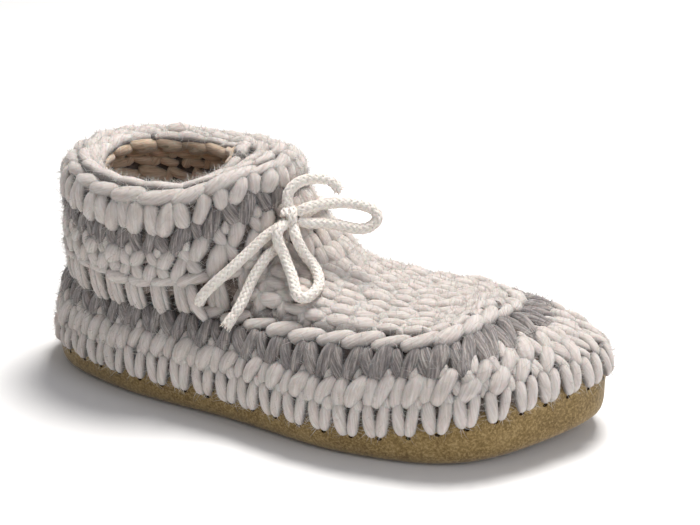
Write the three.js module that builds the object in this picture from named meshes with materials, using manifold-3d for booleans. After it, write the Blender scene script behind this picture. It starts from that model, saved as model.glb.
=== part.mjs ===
// Right-foot crocheted ankle slipper: a soft suede pan sole, a thick wool upper worked in rows,
// a leather insole and a cotton drawstring tied in a bow at the throat.
// Millimetres, +X towards the toe, -Y towards the outer side of the foot, +Z up.
import * as THREE from "three";
import { mergeVertices } from "three/addons/utils/BufferGeometryUtils.js";
import Module from "manifold-3d";

const wasm = await Module();
wasm.setup();

// Outline of the suede edge, heel to toe along the outer side and back along the inner side
const OUTLINE = [
  { x: -120, y: 1 },
  { x: -109.5, y: -22.5 },
  { x: -72, y: -39 },
  { x: -16, y: -47 },
  { x: 38.5, y: -56 },
  { x: 88, y: -47 },
  { x: 115, y: -21 },
  { x: 128.5, y: 7 },
  { x: 120, y: 25 },
  { x: 80, y: 39.5 },
  { x: 36, y: 39.5 },
  { x: -18, y: 35 },
  { x: -72, y: 33.5 },
  { x: -110, y: 22 },
];
const TOE_POINT = 7;
const EDGE_STITCHES = 52;
const SIDE_STEPS = EDGE_STITCHES;
const COLUMNS = 2 * SIDE_STEPS;
const SAMPLES_PER_SPAN = 40;

// Where the heel heights take over from the height along the side, and where the toe ends
const HEEL_END = -127;
const HEEL_BLEND_END = -63;
const TOE_END = 128;
const TURN_END = 118;
const TOE_REACH = 58.5;
const ROUND_FROM = 0.5;

// Lines between the rows of the body: height at heel, side and toe, with the x from which a line rises to the toe;
// outward offset at heel and side, and the share of the way to the ridge at the tip, with the x where it turns in;
// and how far the line leans up towards the outer side at the toe, per millimetre of width
const LINES = {
  holes: { heel: 12, mid: 11.2, toe: 26.5, rise: 40, rear: 1.3, side: 1.6, tip: -0.027, turn: 90, lean: 0 },
  edge: { heel: 20.5, mid: 24, toe: 36.5, rise: 30, rear: -1.5, side: 1, tip: 0.05, turn: 90, lean: 0.03 },
  cream: { heel: 33, mid: 32.3, toe: 44, rise: 20, rear: -4.5, side: -2, tip: 0.38, turn: 88, lean: 0.06 },
  grey: { heel: 42, mid: 42.5, toe: 48, rise: -10, rear: -8, side: -5.5, tip: 0.6, turn: 62, lean: 0.085 },
  braid: { heel: 46, mid: 47.5, toe: 50, rise: -10, rear: -14, side: -13, tip: 0.76, turn: 62, lean: 0.085 },
};

// Rows of the body between those lines, with the height of their rounded stitches
const BODY_ROWS = [
  { from: "holes", to: "edge", bulge: 2.6, steps: 3 },
  { from: "edge", to: "cream", bulge: 2.8, steps: 3 },
  { from: "cream", to: "grey", bulge: 2.8, steps: 3 },
  { from: "grey", to: "braid", bulge: 2.8, steps: 2 },
];
const STITCH_RELIEF = 0.28;
const NOTCH_HEIGHT = 4.2;

// Vamp: rows follow its edge round the toe and close over a ridge along the foot
const RIDGE_BACK = -80;
const RIDGE_TOE = 70;
const RIDGE_Y = -7;
const RIDGE_TOE_Y = 3;
const RIDGE_TURN = 40;
const VAMP_LOW = 50.5;
const VAMP_RISE = 19;
const VAMP_RISE_START = 65;
const VAMP_RISE_POWER = 1.6;
const VAMP_ARCH_POWER = 1.8;
const VAMP_ROWS = 4;
const VAMP_ROW_STEPS = 2;
const VAMP_BULGE = 1.8;
const VAMP_FULL_REACH = 36;
const VAMP_CLOSE = 0.97;

// Ankle lines from below: back, front and half width, heights at back, side and front, the taper to the front,
// the share of the early rise on the outer side, and the wall there with how far its inner face lies lower
const ANKLE = [
  { back: -107, front: 30, half: 31, zBack: 34, zSide: 32, zFront: 50, taper: 0.2, sway: 0, wall: 10, drop: 0 },
  { back: -109.5, front: 26, half: 36.3, zBack: 43.5, zSide: 42.5, zFront: 58, taper: 0.2, sway: 0, wall: 8.5, drop: 0 },
  { back: -109.5, front: 8, half: 38, zBack: 60, zSide: 58.5, zFront: 74, taper: 0.2, sway: 0, wall: 6.5, drop: 0 },
  { back: -109, front: 1.3, half: 37.8, zBack: 68.5, zSide: 64.5, zFront: 82, taper: 0.2, sway: 0.2, wall: 6, drop: 0 },
  { back: -108.5, front: -2.3, half: 37.4, zBack: 76, zSide: 70, zFront: 89, taper: 0.25, sway: 0.5, wall: 6, drop: 0 },
  { back: -108, front: -4.5, half: 37, zBack: 83, zSide: 80, zFront: 96, taper: 0.3, sway: 1, wall: 6, drop: 0 },
  { back: -106.5, front: -6, half: 36.5, zBack: 94.5, zSide: 91.5, zFront: 101.5, taper: 0.3, sway: 1, wall: 6.5, drop: 4 },
  { back: -101, front: -11, half: 32.5, zBack: 99, zSide: 96, zFront: 104, taper: 0.32, sway: 1, wall: 5, drop: 6 },
  { back: -92, front: -25, half: 27, zBack: 96.5, zSide: 94, zFront: 103, taper: 0.35, sway: 1, wall: 1.5, drop: 4.5 },
];
const ANKLE_BULGES = [0, 1.8, 1.6, 1.5, 2.2, 2.4, 0, 0];
const ANKLE_COLUMNS = 48;
const ANKLE_INNER_COLUMNS = 24;
const ANKLE_SQUARENESS = 2.15;
const ANKLE_CENTRE_Y = -1.5;
const ANKLE_TILT = 2.5;
const ANKLE_LOW_X = -55;
const ANKLE_FRONT_POWER = 1.4;
const ANKLE_EARLY_START = -48;
const ANKLE_EARLY_END = -10;
const ANKLE_LATE_POWER = 2.2;
const ANKLE_RISE_ABOVE = 14;
const ANKLE_ROW_STEPS = 3;

// Eyelet gaps between the tall stitches low on the ankle
const EYELET_ROW = 1;
const EYELET_PART = 0.36;
const EYELETS_PER_SIDE = 9;
const EYELET_PITCH = 11.8;
const EYELET_WIDTH = 6;
const EYELET_HEIGHT = 6.6;
const EYELET_REACH = 24;
const EYELET_SIDES = 6;

// Wall of the upper, its step over the suede edge, and the parts of the way up the vamp that shape its hollow
const UPPER_WALL = 5.5;
const VAMP_WALL = 6;
const GREY_DROP = 4;
const CREAM_DROP = 3;
const HOLLOW_PARTS = [0.15, 0.35, 0.6, 0.8, VAMP_CLOSE];
const CLEARANCE = 0.4;
const STEP_INSET = 4.2;
const INNER_BELOW = -12;

// Suede pan: thickness, turned-up edge and the curve of its bottom
const PAN_WALL = 2.2;
const PAN_FLOOR = 3;
const SUEDE_ABOVE_HOLES = 5;
const PAN_SECTION = [
  { inset: 8, rise: 0 },
  { inset: 3, rise: 1.1 },
  { inset: 0.7, rise: 4 },
  { inset: 0, rise: 8 },
];
const TOE_SPRING = 6;
const TOE_SPRING_START = 62;
const HEEL_LIFT = 1.6;
const HEEL_LIFT_START = -96;
const SPRING_POWER = 2;

// Insole
const INSOLE_THICKNESS = 2.5;
const INSOLE_INSET = 3.4;

// Drawstring and bow: cord size, knot, and the route of each stretch
const CORD_DIAMETER = 4.8;
const CORD_SIDES = 8;
const KNOT_RADIUS = 5.2;
const KNOT_SEGMENTS = 12;
const KNOT_RINGS = 8;
const KNOT = [2.3, -20, 84.5];
const CORDS = [
  {
    name: "drawstring_outer",
    steps: 9,
    route: [
      [-2.3, -21.1, 80.3],
      [-6.1, -26, 77.5],
      [-11.6, -31.4, 71.5],
      [-16.9, -37.2, 65.5],
      [-22.7, -41.7, 59.6],
      [-26.7, -43.6, 54.9],
      [-29, -43.3, 51.2],
      [-30.2, -40.6, 49.8],
    ],
  },
  {
    name: "drawstring_inner",
    steps: 12,
    route: [
      [4.4, -14.6, 84],
      [5.6, -10.2, 84.4],
      [6.5, -4.8, 84.8],
      [6.5, 3, 84.2],
      [4.7, 10.1, 82.5],
      [0.9, 16.4, 79.5],
      [-1.9, 23.2, 76],
      [-6.6, 29.4, 71.4],
      [-11.6, 33.4, 66.8],
      [-16.8, 36.8, 62.4],
      [-22.3, 39.6, 58.8],
      [-27, 40.5, 56],
      [-30, 37.4, 54.4],
    ],
  },
  {
    name: "bow_loop_outer",
    steps: 14,
    route: [
      [6.9, -18.3, 88.2],
      [10.5, -15.5, 89.2],
      [14.6, -12.4, 89.6],
      [21.3, -8.9, 89.8],
      [28, -6.4, 88.8],
      [32.6, -5.4, 87],
      [34.3, -5.8, 84.2],
      [32.6, -7.6, 81.1],
      [29, -9.6, 79.8],
      [24.3, -11.4, 80.4],
      [19.4, -13.4, 81.6],
      [14, -16.4, 82.5],
      [8.3, -19.5, 83],
    ],
  },
  {
    name: "bow_loop_down",
    steps: 16,
    route: [
      [5.1, -23.4, 80.5],
      [6.8, -25.2, 78],
      [8.6, -25, 74.2],
      [10.4, -24, 70.4],
      [13, -23.6, 67.4],
      [16.6, -26.4, 64.4],
      [19, -30.6, 61.8],
      [18.9, -35, 60.2],
      [16.8, -38.9, 58.8],
      [13.9, -39.8, 59.4],
      [11.4, -37.2, 61.7],
      [8.8, -33.8, 64.5],
      [5.6, -31, 68],
      [2.6, -28.8, 72.4],
      [0.4, -29.2, 77.2],
      [-0.2, -27.8, 81],
      [0.5, -25.2, 82.3],
    ],
  },
  {
    name: "bow_end_up",
    steps: 8,
    route: [
      [0.2, -18.9, 90.2],
      [0, -17.4, 94],
      [2.4, -14.6, 97.4],
      [7.8, -11.3, 99.2],
      [12.6, -9, 98.8],
      [16, -7.6, 97],
      [17.6, -7, 94.6],
    ],
  },
  {
    name: "bow_end_down",
    steps: 10,
    route: [
      [-2.4, -25.4, 72],
      [-4.6, -28, 70],
      [-6.5, -30.8, 66.5],
      [-8.5, -33.8, 62.1],
      [-9.9, -37.4, 56.9],
      [-10.8, -41.3, 52.6],
      [-12.4, -44.8, 48.8],
      [-14.4, -47.4, 45],
    ],
  },
];

// Materials
const SUEDE = { color: 0x9a7f52, roughness: 0.95, metalness: 0 };
const LEATHER = { color: 0xc5a691, roughness: 0.7, metalness: 0 };
const WOOL = { color: 0xd6cfca, roughness: 1, metalness: 0 };
const COTTON = { color: 0xdfd4cd, roughness: 0.9, metalness: 0 };

const clamp = THREE.MathUtils.clamp;
const lerp = THREE.MathUtils.lerp;
const smoothstep = THREE.MathUtils.smoothstep;

// Even points round the outline, each with its outward direction
function outlineLoop() {
  const corners = OUTLINE.map((p) => new THREE.Vector3(p.x, p.y, 0));
  const curve = new THREE.CatmullRomCurve3(corners, true, "centripetal");
  const spans = [
    { from: 0, count: TOE_POINT },
    { from: TOE_POINT, count: OUTLINE.length - TOE_POINT },
  ];
  const points = [];
  for (const span of spans) {
    const steps = span.count * SAMPLES_PER_SPAN;
    const fine = [];
    const length = [0];
    for (let i = 0; i <= steps; i += 1) {
      const t = (span.from + i / SAMPLES_PER_SPAN) / OUTLINE.length;
      fine.push(curve.getPoint(Math.min(t, 1)));
      if (i > 0) length.push(length[i - 1] + fine[i].distanceTo(fine[i - 1]));
    }
    let at = 0;
    for (let i = 0; i < SIDE_STEPS; i += 1) {
      const want = (length[steps] * i) / SIDE_STEPS;
      while (length[at + 1] < want) at += 1;
      const part = (want - length[at]) / (length[at + 1] - length[at]);
      points.push(fine[at].clone().lerp(fine[at + 1], part));
    }
  }
  return points.map((p) => {
    const ridge = ridgePoint(p.x);
    const out = new THREE.Vector2(p.x - ridge.x, p.y - ridge.y).normalize();
    return { x: p.x, y: p.y, out, ridge };
  });
}

// Point of the ridge along the foot that a place on the outline faces
function ridgePoint(x) {
  const ridgeX = clamp(x, RIDGE_BACK, RIDGE_TOE);
  const turn = clamp((ridgeX - RIDGE_TURN) / (RIDGE_TOE - RIDGE_TURN), 0, 1);
  const rise = clamp((VAMP_RISE_START - ridgeX) / VAMP_RISE_START, 0, 1);
  const z = VAMP_LOW + VAMP_RISE * rise ** VAMP_RISE_POWER;
  return new THREE.Vector3(ridgeX, lerp(RIDGE_Y, RIDGE_TOE_Y, turn), z);
}

const EDGE = outlineLoop();
const INNER_EDGE = EDGE.filter((place, i) => i % 2 === 0);

function lineHeight(place, line) {
  const heel = clamp((HEEL_BLEND_END - place.x) / (HEEL_BLEND_END - HEEL_END), 0, 1);
  const toe = smoothstep(place.x, line.rise, TOE_END);
  return line.mid + (line.heel - line.mid) * heel + (line.toe - line.mid - line.lean * place.y) * toe;
}

function lineOffset(place, line) {
  const heel = clamp((HEEL_BLEND_END - place.x) / (HEEL_BLEND_END - HEEL_END), 0, 1);
  const toe = smoothstep(place.x, line.turn, TURN_END);
  const reach = Math.hypot(place.x - place.ridge.x, place.y - place.ridge.y);
  const round = lerp(reach, TOE_REACH, clamp(line.tip / ROUND_FROM, 0, 1));
  const tip = (1 - line.tip) * round - reach;
  return line.side + (tip - line.side) * toe + (line.rear - line.side) * heel;
}

function offsetPoint(place, offset, z) {
  return new THREE.Vector3(place.x + place.out.x * offset, place.y + place.out.y * offset, z);
}

function spring(x) {
  const toe = clamp((x - TOE_SPRING_START) / (TOE_END - TOE_SPRING_START), 0, 1);
  const heel = clamp((HEEL_LIFT_START - x) / (HEEL_LIFT_START - HEEL_END), 0, 1);
  return TOE_SPRING * toe ** SPRING_POWER + HEEL_LIFT * heel ** SPRING_POWER;
}

// Closed solid from a stack of loops with the same number of points, capped across the foot at both ends
function stack(loops) {
  const count = loops[0].length;
  const half = count / 2;
  const positions = loops.flat().flatMap((p) => [p.x, p.y, p.z]);
  const faces = [];
  for (let row = 0; row + 1 < loops.length; row += 1) {
    const low = row * count;
    const high = low + count;
    for (let i = 0; i < count; i += 1) {
      const j = (i + 1) % count;
      faces.push(low + i, low + j, high + j, low + i, high + j, high + i);
    }
  }
  const cap = (base, facesUp) => {
    for (let i = 0; i < half; i += 1) {
      const ring = [i, i + 1, count - i - 1];
      if (i > 0 && i + 1 < half) ring.push(count - i);
      if (i + 1 === half) ring[2] = count - i;
      if (!facesUp) ring.reverse();
      const at = ring.map((k) => base + k);
      faces.push(at[0], at[1], at[2]);
      if (at.length > 3) faces.push(at[0], at[2], at[3]);
    }
  };
  cap(0, false);
  cap((loops.length - 1) * count, true);
  const geometry = new THREE.BufferGeometry();
  geometry.setAttribute("position", new THREE.Float32BufferAttribute(positions, 3));
  geometry.setIndex(faces);
  return solidOf(geometry);
}

function solidOf(source) {
  const geometry = source.clone();
  geometry.deleteAttribute("normal");
  geometry.deleteAttribute("uv");
  const merged = mergeVertices(geometry);
  const mesh = new wasm.Mesh({
    numProp: 3,
    vertProperties: new Float32Array(merged.attributes.position.array),
    triVerts: new Uint32Array(merged.index.array),
  });
  return new wasm.Manifold(mesh);
}

function geometryOf(solid) {
  const mesh = solid.getMesh();
  const geometry = new THREE.BufferGeometry();
  geometry.setAttribute("position", new THREE.Float32BufferAttribute(mesh.vertProperties, 3));
  geometry.setIndex(Array.from(mesh.triVerts));
  geometry.computeVertexNormals();
  return geometry;
}

// Loop of the body at a part of the way through one of its rows, with rounded stitches
function bodyLoop(row, rowIndex, part) {
  const low = LINES[row.from];
  const high = LINES[row.to];
  return EDGE.map((place, i) => {
    const between = i % 2 === 1;
    const notch = between && row.from === "holes" ? NOTCH_HEIGHT : 0;
    const lowZ = lineHeight(place, low) + notch;
    const lowOut = lineOffset(place, low);
    const rise = lineHeight(place, high) - lowZ;
    const run = lineOffset(place, high) - lowOut;
    const slope = Math.hypot(rise, run);
    const relief = (i + rowIndex) % 2 === 0 ? 1 + STITCH_RELIEF : 1 - STITCH_RELIEF;
    const bulge = row.bulge * Math.sin(Math.PI * part) * relief;
    const out = lowOut + run * part + (bulge * rise) / slope;
    return offsetPoint(place, out, lowZ + rise * part - (bulge * run) / slope);
  });
}

function archHeight(part) {
  return (1 - (1 - part) ** VAMP_ARCH_POWER) ** (1 / VAMP_ARCH_POWER);
}

// Loop of the vamp, part of the way from a start line to the ridge along the foot
function vampLoop(places, startLoop, part, lift, drop) {
  return places.map((place, i) => {
    const start = startLoop[i];
    const x = lerp(start.x, place.ridge.x, part);
    const y = lerp(start.y, place.ridge.y, part);
    const z = lerp(start.z, place.ridge.z - drop, archHeight(part));
    return new THREE.Vector3(x, y, z + lift(i));
  });
}

function bodyOuter() {
  const loops = [];
  BODY_ROWS.forEach((row, rowIndex) => {
    for (let step = 0; step < row.steps; step += 1) {
      loops.push(bodyLoop(row, rowIndex, step / row.steps));
    }
  });
  const lastRow = BODY_ROWS.length - 1;
  const start = bodyLoop(BODY_ROWS[lastRow], lastRow, 1);
  for (let row = 0; row < VAMP_ROWS; row += 1) {
    for (let step = 0; step < VAMP_ROW_STEPS; step += 1) {
      const inRow = step / VAMP_ROW_STEPS;
      const part = (VAMP_CLOSE * (row + inRow)) / VAMP_ROWS;
      const lift = (i) => {
        const relief = STITCH_RELIEF * (1 - part) * ((i + row) % 2 === 0 ? 1 : -1);
        const swell = Math.min(start[i].distanceTo(EDGE[i].ridge) / VAMP_FULL_REACH, 1) ** 2;
        return VAMP_BULGE * swell * Math.sin(Math.PI * inRow) * (1 + relief);
      };
      loops.push(vampLoop(EDGE, start, part, lift, 0));
    }
  }
  loops.push(vampLoop(EDGE, start, VAMP_CLOSE, () => 0, 0));
  return stack(loops);
}

function suedeTop(place) {
  return lineHeight(place, LINES.holes) + SUEDE_ABOVE_HOLES;
}

// Hollow of the body: it clears the suede edge, steps in above it and follows the rows up to the vamp
function bodyInner() {
  const flat = (places, z, out) => places.map((place) => offsetPoint(place, out, z(place)));
  const inside = (line, drop) =>
    INNER_EDGE.map((place) => {
      const out = lineOffset(place, line) - UPPER_WALL;
      return offsetPoint(place, out, lineHeight(place, line) - drop);
    });
  const below = () => INNER_BELOW;
  const aboveSuede = (place) => suedeTop(place) + 2 * CLEARANCE;
  const skirt = stack([flat(EDGE, below, CLEARANCE), flat(EDGE, aboveSuede, CLEARANCE)]);
  const start = inside(LINES.grey, GREY_DROP);
  const loops = [
    flat(INNER_EDGE, below, -STEP_INSET),
    flat(INNER_EDGE, aboveSuede, -STEP_INSET),
    inside(LINES.edge, 0),
    inside(LINES.cream, CREAM_DROP),
    start,
  ];
  const level = () => 0;
  HOLLOW_PARTS.forEach((part) => loops.push(vampLoop(INNER_EDGE, start, part, level, VAMP_WALL)));
  return skirt.add(stack(loops));
}

// One loop of the ankle between two of its lines, drawn in by an inset
function ankleLoop(columns, lineIndex, part, inset, raise) {
  const low = ANKLE[lineIndex];
  const high = ANKLE[Math.min(lineIndex + 1, ANKLE.length - 1)];
  const at = (key) => lerp(low[key], high[key], part);
  const back = at("back") + inset;
  const front = at("front") - inset;
  const half = at("half") - inset;
  const centre = (back + front) / 2;
  const reach = (front - back) / 2;
  const rowBulge = ANKLE_BULGES[lineIndex] ?? 0;
  const round = (value) => Math.sign(value) * Math.abs(value) ** (2 / ANKLE_SQUARENESS);
  const loop = [];
  for (let i = 0; i < columns; i += 1) {
    const angle = (2 * Math.PI * i) / columns;
    const along = -round(Math.cos(angle));
    const side = round(Math.sin(angle));
    const taper = 1 - at("taper") * Math.max(along, 0) ** 2;
    const relief = (i + lineIndex) % 2 === 0 ? 1 + STITCH_RELIEF : 1 - STITCH_RELIEF;
    const bulge = rowBulge * Math.sin(Math.PI * part) * relief * (inset > 0 ? 0 : 1);
    const out = new THREE.Vector2(along / reach, -side / half).normalize();
    const x = centre + reach * along;
    const y = ANKLE_CENTRE_Y - half * side * taper;
    const toBack = clamp((ANKLE_LOW_X - x) / (ANKLE_LOW_X - back), 0, 1);
    const toFront = clamp((x - ANKLE_LOW_X) / (front - ANKLE_LOW_X), 0, 1);
    const early = smoothstep(x, ANKLE_EARLY_START, ANKLE_EARLY_END);
    const swayed = lerp(toFront ** ANKLE_LATE_POWER, early, smoothstep(side, -0.5, 0.5));
    const rise = (at("zFront") - at("zSide")) * lerp(toFront ** ANKLE_FRONT_POWER, swayed, at("sway"));
    const z = at("zSide") + (at("zBack") - at("zSide")) * toBack ** 2 + rise - ANKLE_TILT * side;
    loop.push(new THREE.Vector3(x + out.x * bulge, y + out.y * bulge, z + raise));
  }
  return loop;
}

function ankleOuter() {
  const loops = [];
  for (let line = 0; line + 1 < ANKLE.length; line += 1) {
    const steps = ANKLE_BULGES[line] > 0 ? ANKLE_ROW_STEPS : 1;
    for (let step = 0; step < steps; step += 1) {
      loops.push(ankleLoop(ANKLE_COLUMNS, line, step / steps, 0, 0));
    }
  }
  loops.push(ankleLoop(ANKLE_COLUMNS, ANKLE.length - 1, 0, 0, 0));
  return stack(loops);
}

function ankleInner() {
  const loops = ANKLE.map((line, index) => ankleLoop(ANKLE_INNER_COLUMNS, index, 0, line.wall, -line.drop));
  const top = ANKLE.length - 1;
  loops.push(ankleLoop(ANKLE_INNER_COLUMNS, top, 0, ANKLE[top].wall, ANKLE_RISE_ABOVE));
  return stack(loops);
}

// Places of the eyelet gaps, even along the eyelet row on each side of the heel
function eyeletPlaces() {
  const loop = ankleLoop(ANKLE_COLUMNS, EYELET_ROW, EYELET_PART, 0, 0);
  const places = [];
  for (const side of [1, -1]) {
    let travelled = 0;
    let wanted = EYELET_PITCH / 2;
    for (let i = 0; i < ANKLE_COLUMNS / 2; i += 1) {
      const here = loop[(side * i + ANKLE_COLUMNS) % ANKLE_COLUMNS];
      const next = loop[(side * (i + 1) + ANKLE_COLUMNS) % ANKLE_COLUMNS];
      const step = here.distanceTo(next);
      while (travelled + step >= wanted && wanted < EYELET_PITCH * EYELETS_PER_SIDE) {
        const point = here.clone().lerp(next, (wanted - travelled) / step);
        const tangent = next.clone().sub(here).normalize();
        places.push({ point, out: new THREE.Vector3(side * tangent.y, -side * tangent.x, 0).normalize() });
        wanted += EYELET_PITCH;
      }
      travelled += step;
    }
  }
  return places;
}

function eyeletCutter(place) {
  const geometry = new THREE.CylinderGeometry(1, 1, EYELET_REACH, EYELET_SIDES);
  const up = new THREE.Vector3(0, 0, 1);
  const across = new THREE.Vector3().crossVectors(place.out, up);
  const frame = new THREE.Matrix4().makeBasis(
    across.multiplyScalar(EYELET_WIDTH / 2),
    place.out,
    up.multiplyScalar(EYELET_HEIGHT / 2),
  );
  frame.setPosition(place.point);
  geometry.applyMatrix4(frame);
  return solidOf(geometry);
}

function upperSolid() {
  const outer = bodyOuter().add(ankleOuter());
  const inner = bodyInner().add(ankleInner());
  const shell = outer.subtract(inner);
  const pierced = eyeletPlaces().reduce((solid, place) => solid.subtract(eyeletCutter(place)), shell);
  return largestBody(pierced);
}

// The shell itself, without the offcuts that the hollow leaves behind
function largestBody(solid) {
  const bodies = solid.decompose();
  return bodies.reduce((best, body) => (body.volume() > best.volume() ? body : best));
}

// Suede pan: flat below, turned up all round to just above the stitch holes, open on top
function soleSolid() {
  const outside = PAN_SECTION.map((row) =>
    EDGE.map((place) => offsetPoint(place, -row.inset, row.rise + spring(place.x))),
  );
  const top = (out) => EDGE.map((place) => offsetPoint(place, out, suedeTop(place)));
  const floor = EDGE.map((place) => offsetPoint(place, -PAN_WALL, PAN_FLOOR + spring(place.x)));
  return stack([...outside, top(0), top(-PAN_WALL), floor]);
}

function insoleSolid() {
  const loop = (z) =>
    EDGE.map((place) => offsetPoint(place, -INSOLE_INSET, z + spring(place.x)));
  const rest = PAN_FLOOR + CLEARANCE;
  return stack([loop(rest), loop(rest + INSOLE_THICKNESS)]);
}

// Round cord along a smooth curve through the points of its route
function cordGeometry(cord) {
  const section = new THREE.Shape();
  for (let i = 0; i < CORD_SIDES; i += 1) {
    const angle = (2 * Math.PI * i) / CORD_SIDES;
    const x = (CORD_DIAMETER / 2) * Math.cos(angle);
    const y = (CORD_DIAMETER / 2) * Math.sin(angle);
    if (i === 0) section.moveTo(x, y);
    else section.lineTo(x, y);
  }
  section.closePath();
  const points = cord.route.map((p) => new THREE.Vector3(...p));
  const extrudePath = new THREE.CatmullRomCurve3(points, false, "centripetal");
  const extruded = new THREE.ExtrudeGeometry(section, { steps: cord.steps, bevelEnabled: false, extrudePath });
  return geometryOf(solidOf(extruded));
}

function knotGeometry() {
  const ball = new THREE.SphereGeometry(KNOT_RADIUS, KNOT_SEGMENTS, KNOT_RINGS);
  return geometryOf(solidOf(ball));
}

function piece(name, geometry, finish) {
  const mesh = new THREE.Mesh(geometry, new THREE.MeshStandardMaterial(finish));
  mesh.name = name;
  return mesh;
}

const body = new THREE.Group();
body.add(piece("sole", geometryOf(soleSolid()), SUEDE));
body.add(piece("insole", geometryOf(insoleSolid()), LEATHER));
body.add(piece("upper", geometryOf(upperSolid()), WOOL));

const cords = new THREE.Group();
CORDS.forEach((cord) => cords.add(piece(cord.name, cordGeometry(cord), COTTON)));
const knot = piece("bow_knot", knotGeometry(), COTTON);
knot.position.set(...KNOT);
cords.add(knot);

// The origin is at the middle of the shoe's footprint, on the floor
const slipper = new THREE.Group();
slipper.add(body, cords);
const middle = new THREE.Box3().setFromObject(body).getCenter(new THREE.Vector3());
slipper.position.set(-middle.x, -middle.y, 0);

export default slipper;
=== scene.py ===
import math

import bmesh
import bpy
import numpy as np
from mathutils import Matrix, Vector
from mathutils.bvhtree import BVHTree

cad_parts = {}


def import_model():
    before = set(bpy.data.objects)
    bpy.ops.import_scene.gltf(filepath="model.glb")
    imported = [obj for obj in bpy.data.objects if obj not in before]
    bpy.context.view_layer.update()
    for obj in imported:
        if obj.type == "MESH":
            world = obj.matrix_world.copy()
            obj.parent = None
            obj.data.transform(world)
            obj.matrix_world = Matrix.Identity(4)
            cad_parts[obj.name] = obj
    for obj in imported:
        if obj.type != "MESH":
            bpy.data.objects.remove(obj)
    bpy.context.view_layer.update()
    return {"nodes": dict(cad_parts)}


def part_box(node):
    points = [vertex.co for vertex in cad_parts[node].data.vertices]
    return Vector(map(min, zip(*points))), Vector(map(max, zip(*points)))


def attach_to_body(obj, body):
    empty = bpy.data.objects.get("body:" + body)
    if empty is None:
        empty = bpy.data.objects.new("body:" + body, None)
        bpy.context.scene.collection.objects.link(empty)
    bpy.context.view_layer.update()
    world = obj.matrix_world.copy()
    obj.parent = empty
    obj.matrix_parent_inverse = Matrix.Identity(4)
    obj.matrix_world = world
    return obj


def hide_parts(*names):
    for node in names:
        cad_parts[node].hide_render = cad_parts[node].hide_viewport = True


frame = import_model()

# Right-foot crocheted ankle slipper: rows of wool yarn, a suede pan, a leather insole and a cotton bow.
# Tables are in millimetres in the shoe's own frame: +X to the toe, -Y to the outer side, +Z up.

MM = 0.001
SEED = 7
random = np.random.default_rng(SEED)

# Shape of the shoe, as it was modelled

# Outline of the suede edge, heel to toe along the outer side and back along the inner side
OUTLINE = [
    (-120, 1), (-109.5, -22.5), (-72, -39), (-16, -47), (38.5, -56), (88, -47), (115, -21),
    (128.5, 7), (120, 25), (80, 39.5), (36, 39.5), (-18, 35), (-72, 33.5), (-110, 22),
]
TOE_POINT = 7
EDGE_STITCHES = 52
OUTLINE_STEPS = 520
SPAN_STEPS = 40

HEEL_END = -127
HEEL_BLEND_END = -63
TOE_END = 128
TURN_END = 118
TOE_REACH = 58.5
ROUND_FROM = 0.5

# Lines between the rows: height at heel, side and toe, outward offset at heel and side, share of the way
# to the ridge at the toe, lean at the toe, and where the height and the offset start to turn to the toe's
LINES = {
    "holes": dict(heel=12, mid=13, toe=26.5, rear=-1.5, side=1.3, tip=-0.01, lean=0, rise=40, turn=90),
    "edge": dict(heel=19.5, mid=25, toe=36.5, rear=-2.5, side=1, tip=0.05, lean=0.03, rise=30, turn=90),
    "cream": dict(heel=33, mid=33, toe=44, rear=-4.5, side=-2, tip=0.38, lean=0.06, rise=20, turn=88),
    "grey": dict(heel=42, mid=42.5, toe=48, rear=-8, side=-5.5, tip=0.6, lean=0.085, rise=-10, turn=62),
    "braid": dict(heel=46, mid=47.5, toe=50, rear=-14, side=-13, tip=0.76, lean=0.085, rise=-10, turn=62),
}

RIDGE_BACK = -80
RIDGE_TOE = 70
RIDGE_Y = -7
RIDGE_TOE_Y = 3
RIDGE_TURN = 40
RIDGE_THROAT = 0
RIDGE_WIDTH = 8
VAMP_LOW = 50.5
VAMP_RISE = 19
VAMP_RISE_START = 65
VAMP_RISE_POWER = 1.6
VAMP_ARCH_POWER = 1.8
VAMP_CLOSE = 0.97
VAMP_LAST = 0.999

# Ankle lines from the vamp up to the inside of the rim
ANKLE = {
    "back": [-107, -109.5, -109.5, -109, -108.5, -108, -106.5, -101, -92],
    "front": [30, 26, 8, 1.3, -2.3, -4.5, -6, -11, -33],
    "half": [31, 36.3, 38, 37.8, 37.4, 37, 36.5, 32.5, 27],
    "z_back": [34, 43.5, 60, 68.5, 76, 83, 94.5, 99, 96.5],
    "z_side": [32, 42.5, 58.5, 64.5, 70, 80, 91.5, 96, 94],
    "z_front": [50, 58, 74, 82, 89, 96, 101.5, 104, 103],
    "sway": [0, 0, 0, 0.2, 0.5, 1, 1, 1, 1],
    "taper": [0.2, 0.2, 0.2, 0.2, 0.25, 0.3, 0.3, 0.32, 0.35],
    "wall": [10, 8.5, 6.5, 6, 6, 6, 6.5, 5, 1.5],
    "drop": [0, 0, 0, 0, 0, 0, 4, 6, 4.5],
}
ANKLE_SQUARENESS = 2.15
ANKLE_CENTRE_Y = -1.5
ANKLE_TILT = 2.5
ANKLE_LOW_X = -55
ANKLE_RISE_POWER = 1.4
ANKLE_LATE_POWER = 2.2
ANKLE_EARLY_X = (-48, -10)
ANKLE_SAMPLES = 720
ANKLE_ACROSS = np.linspace(-0.75, 1.75, 11)
QUARTER = 0.25
EYELET_PITCH = 11.8

# Suede pan
PAN_WALL = 2.2
PAN_FLOOR = 3
SUEDE_ABOVE_HOLES = 5
PAN_SECTION = [(8, 0), (5.2, 0.3), (3, 1.1), (1.6, 2.4), (0.7, 4), (0.25, 5.8), (0, 8)]
TOE_SPRING = 6
TOE_SPRING_START = 62
HEEL_LIFT = 1.6
HEEL_LIFT_START = -96

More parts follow.
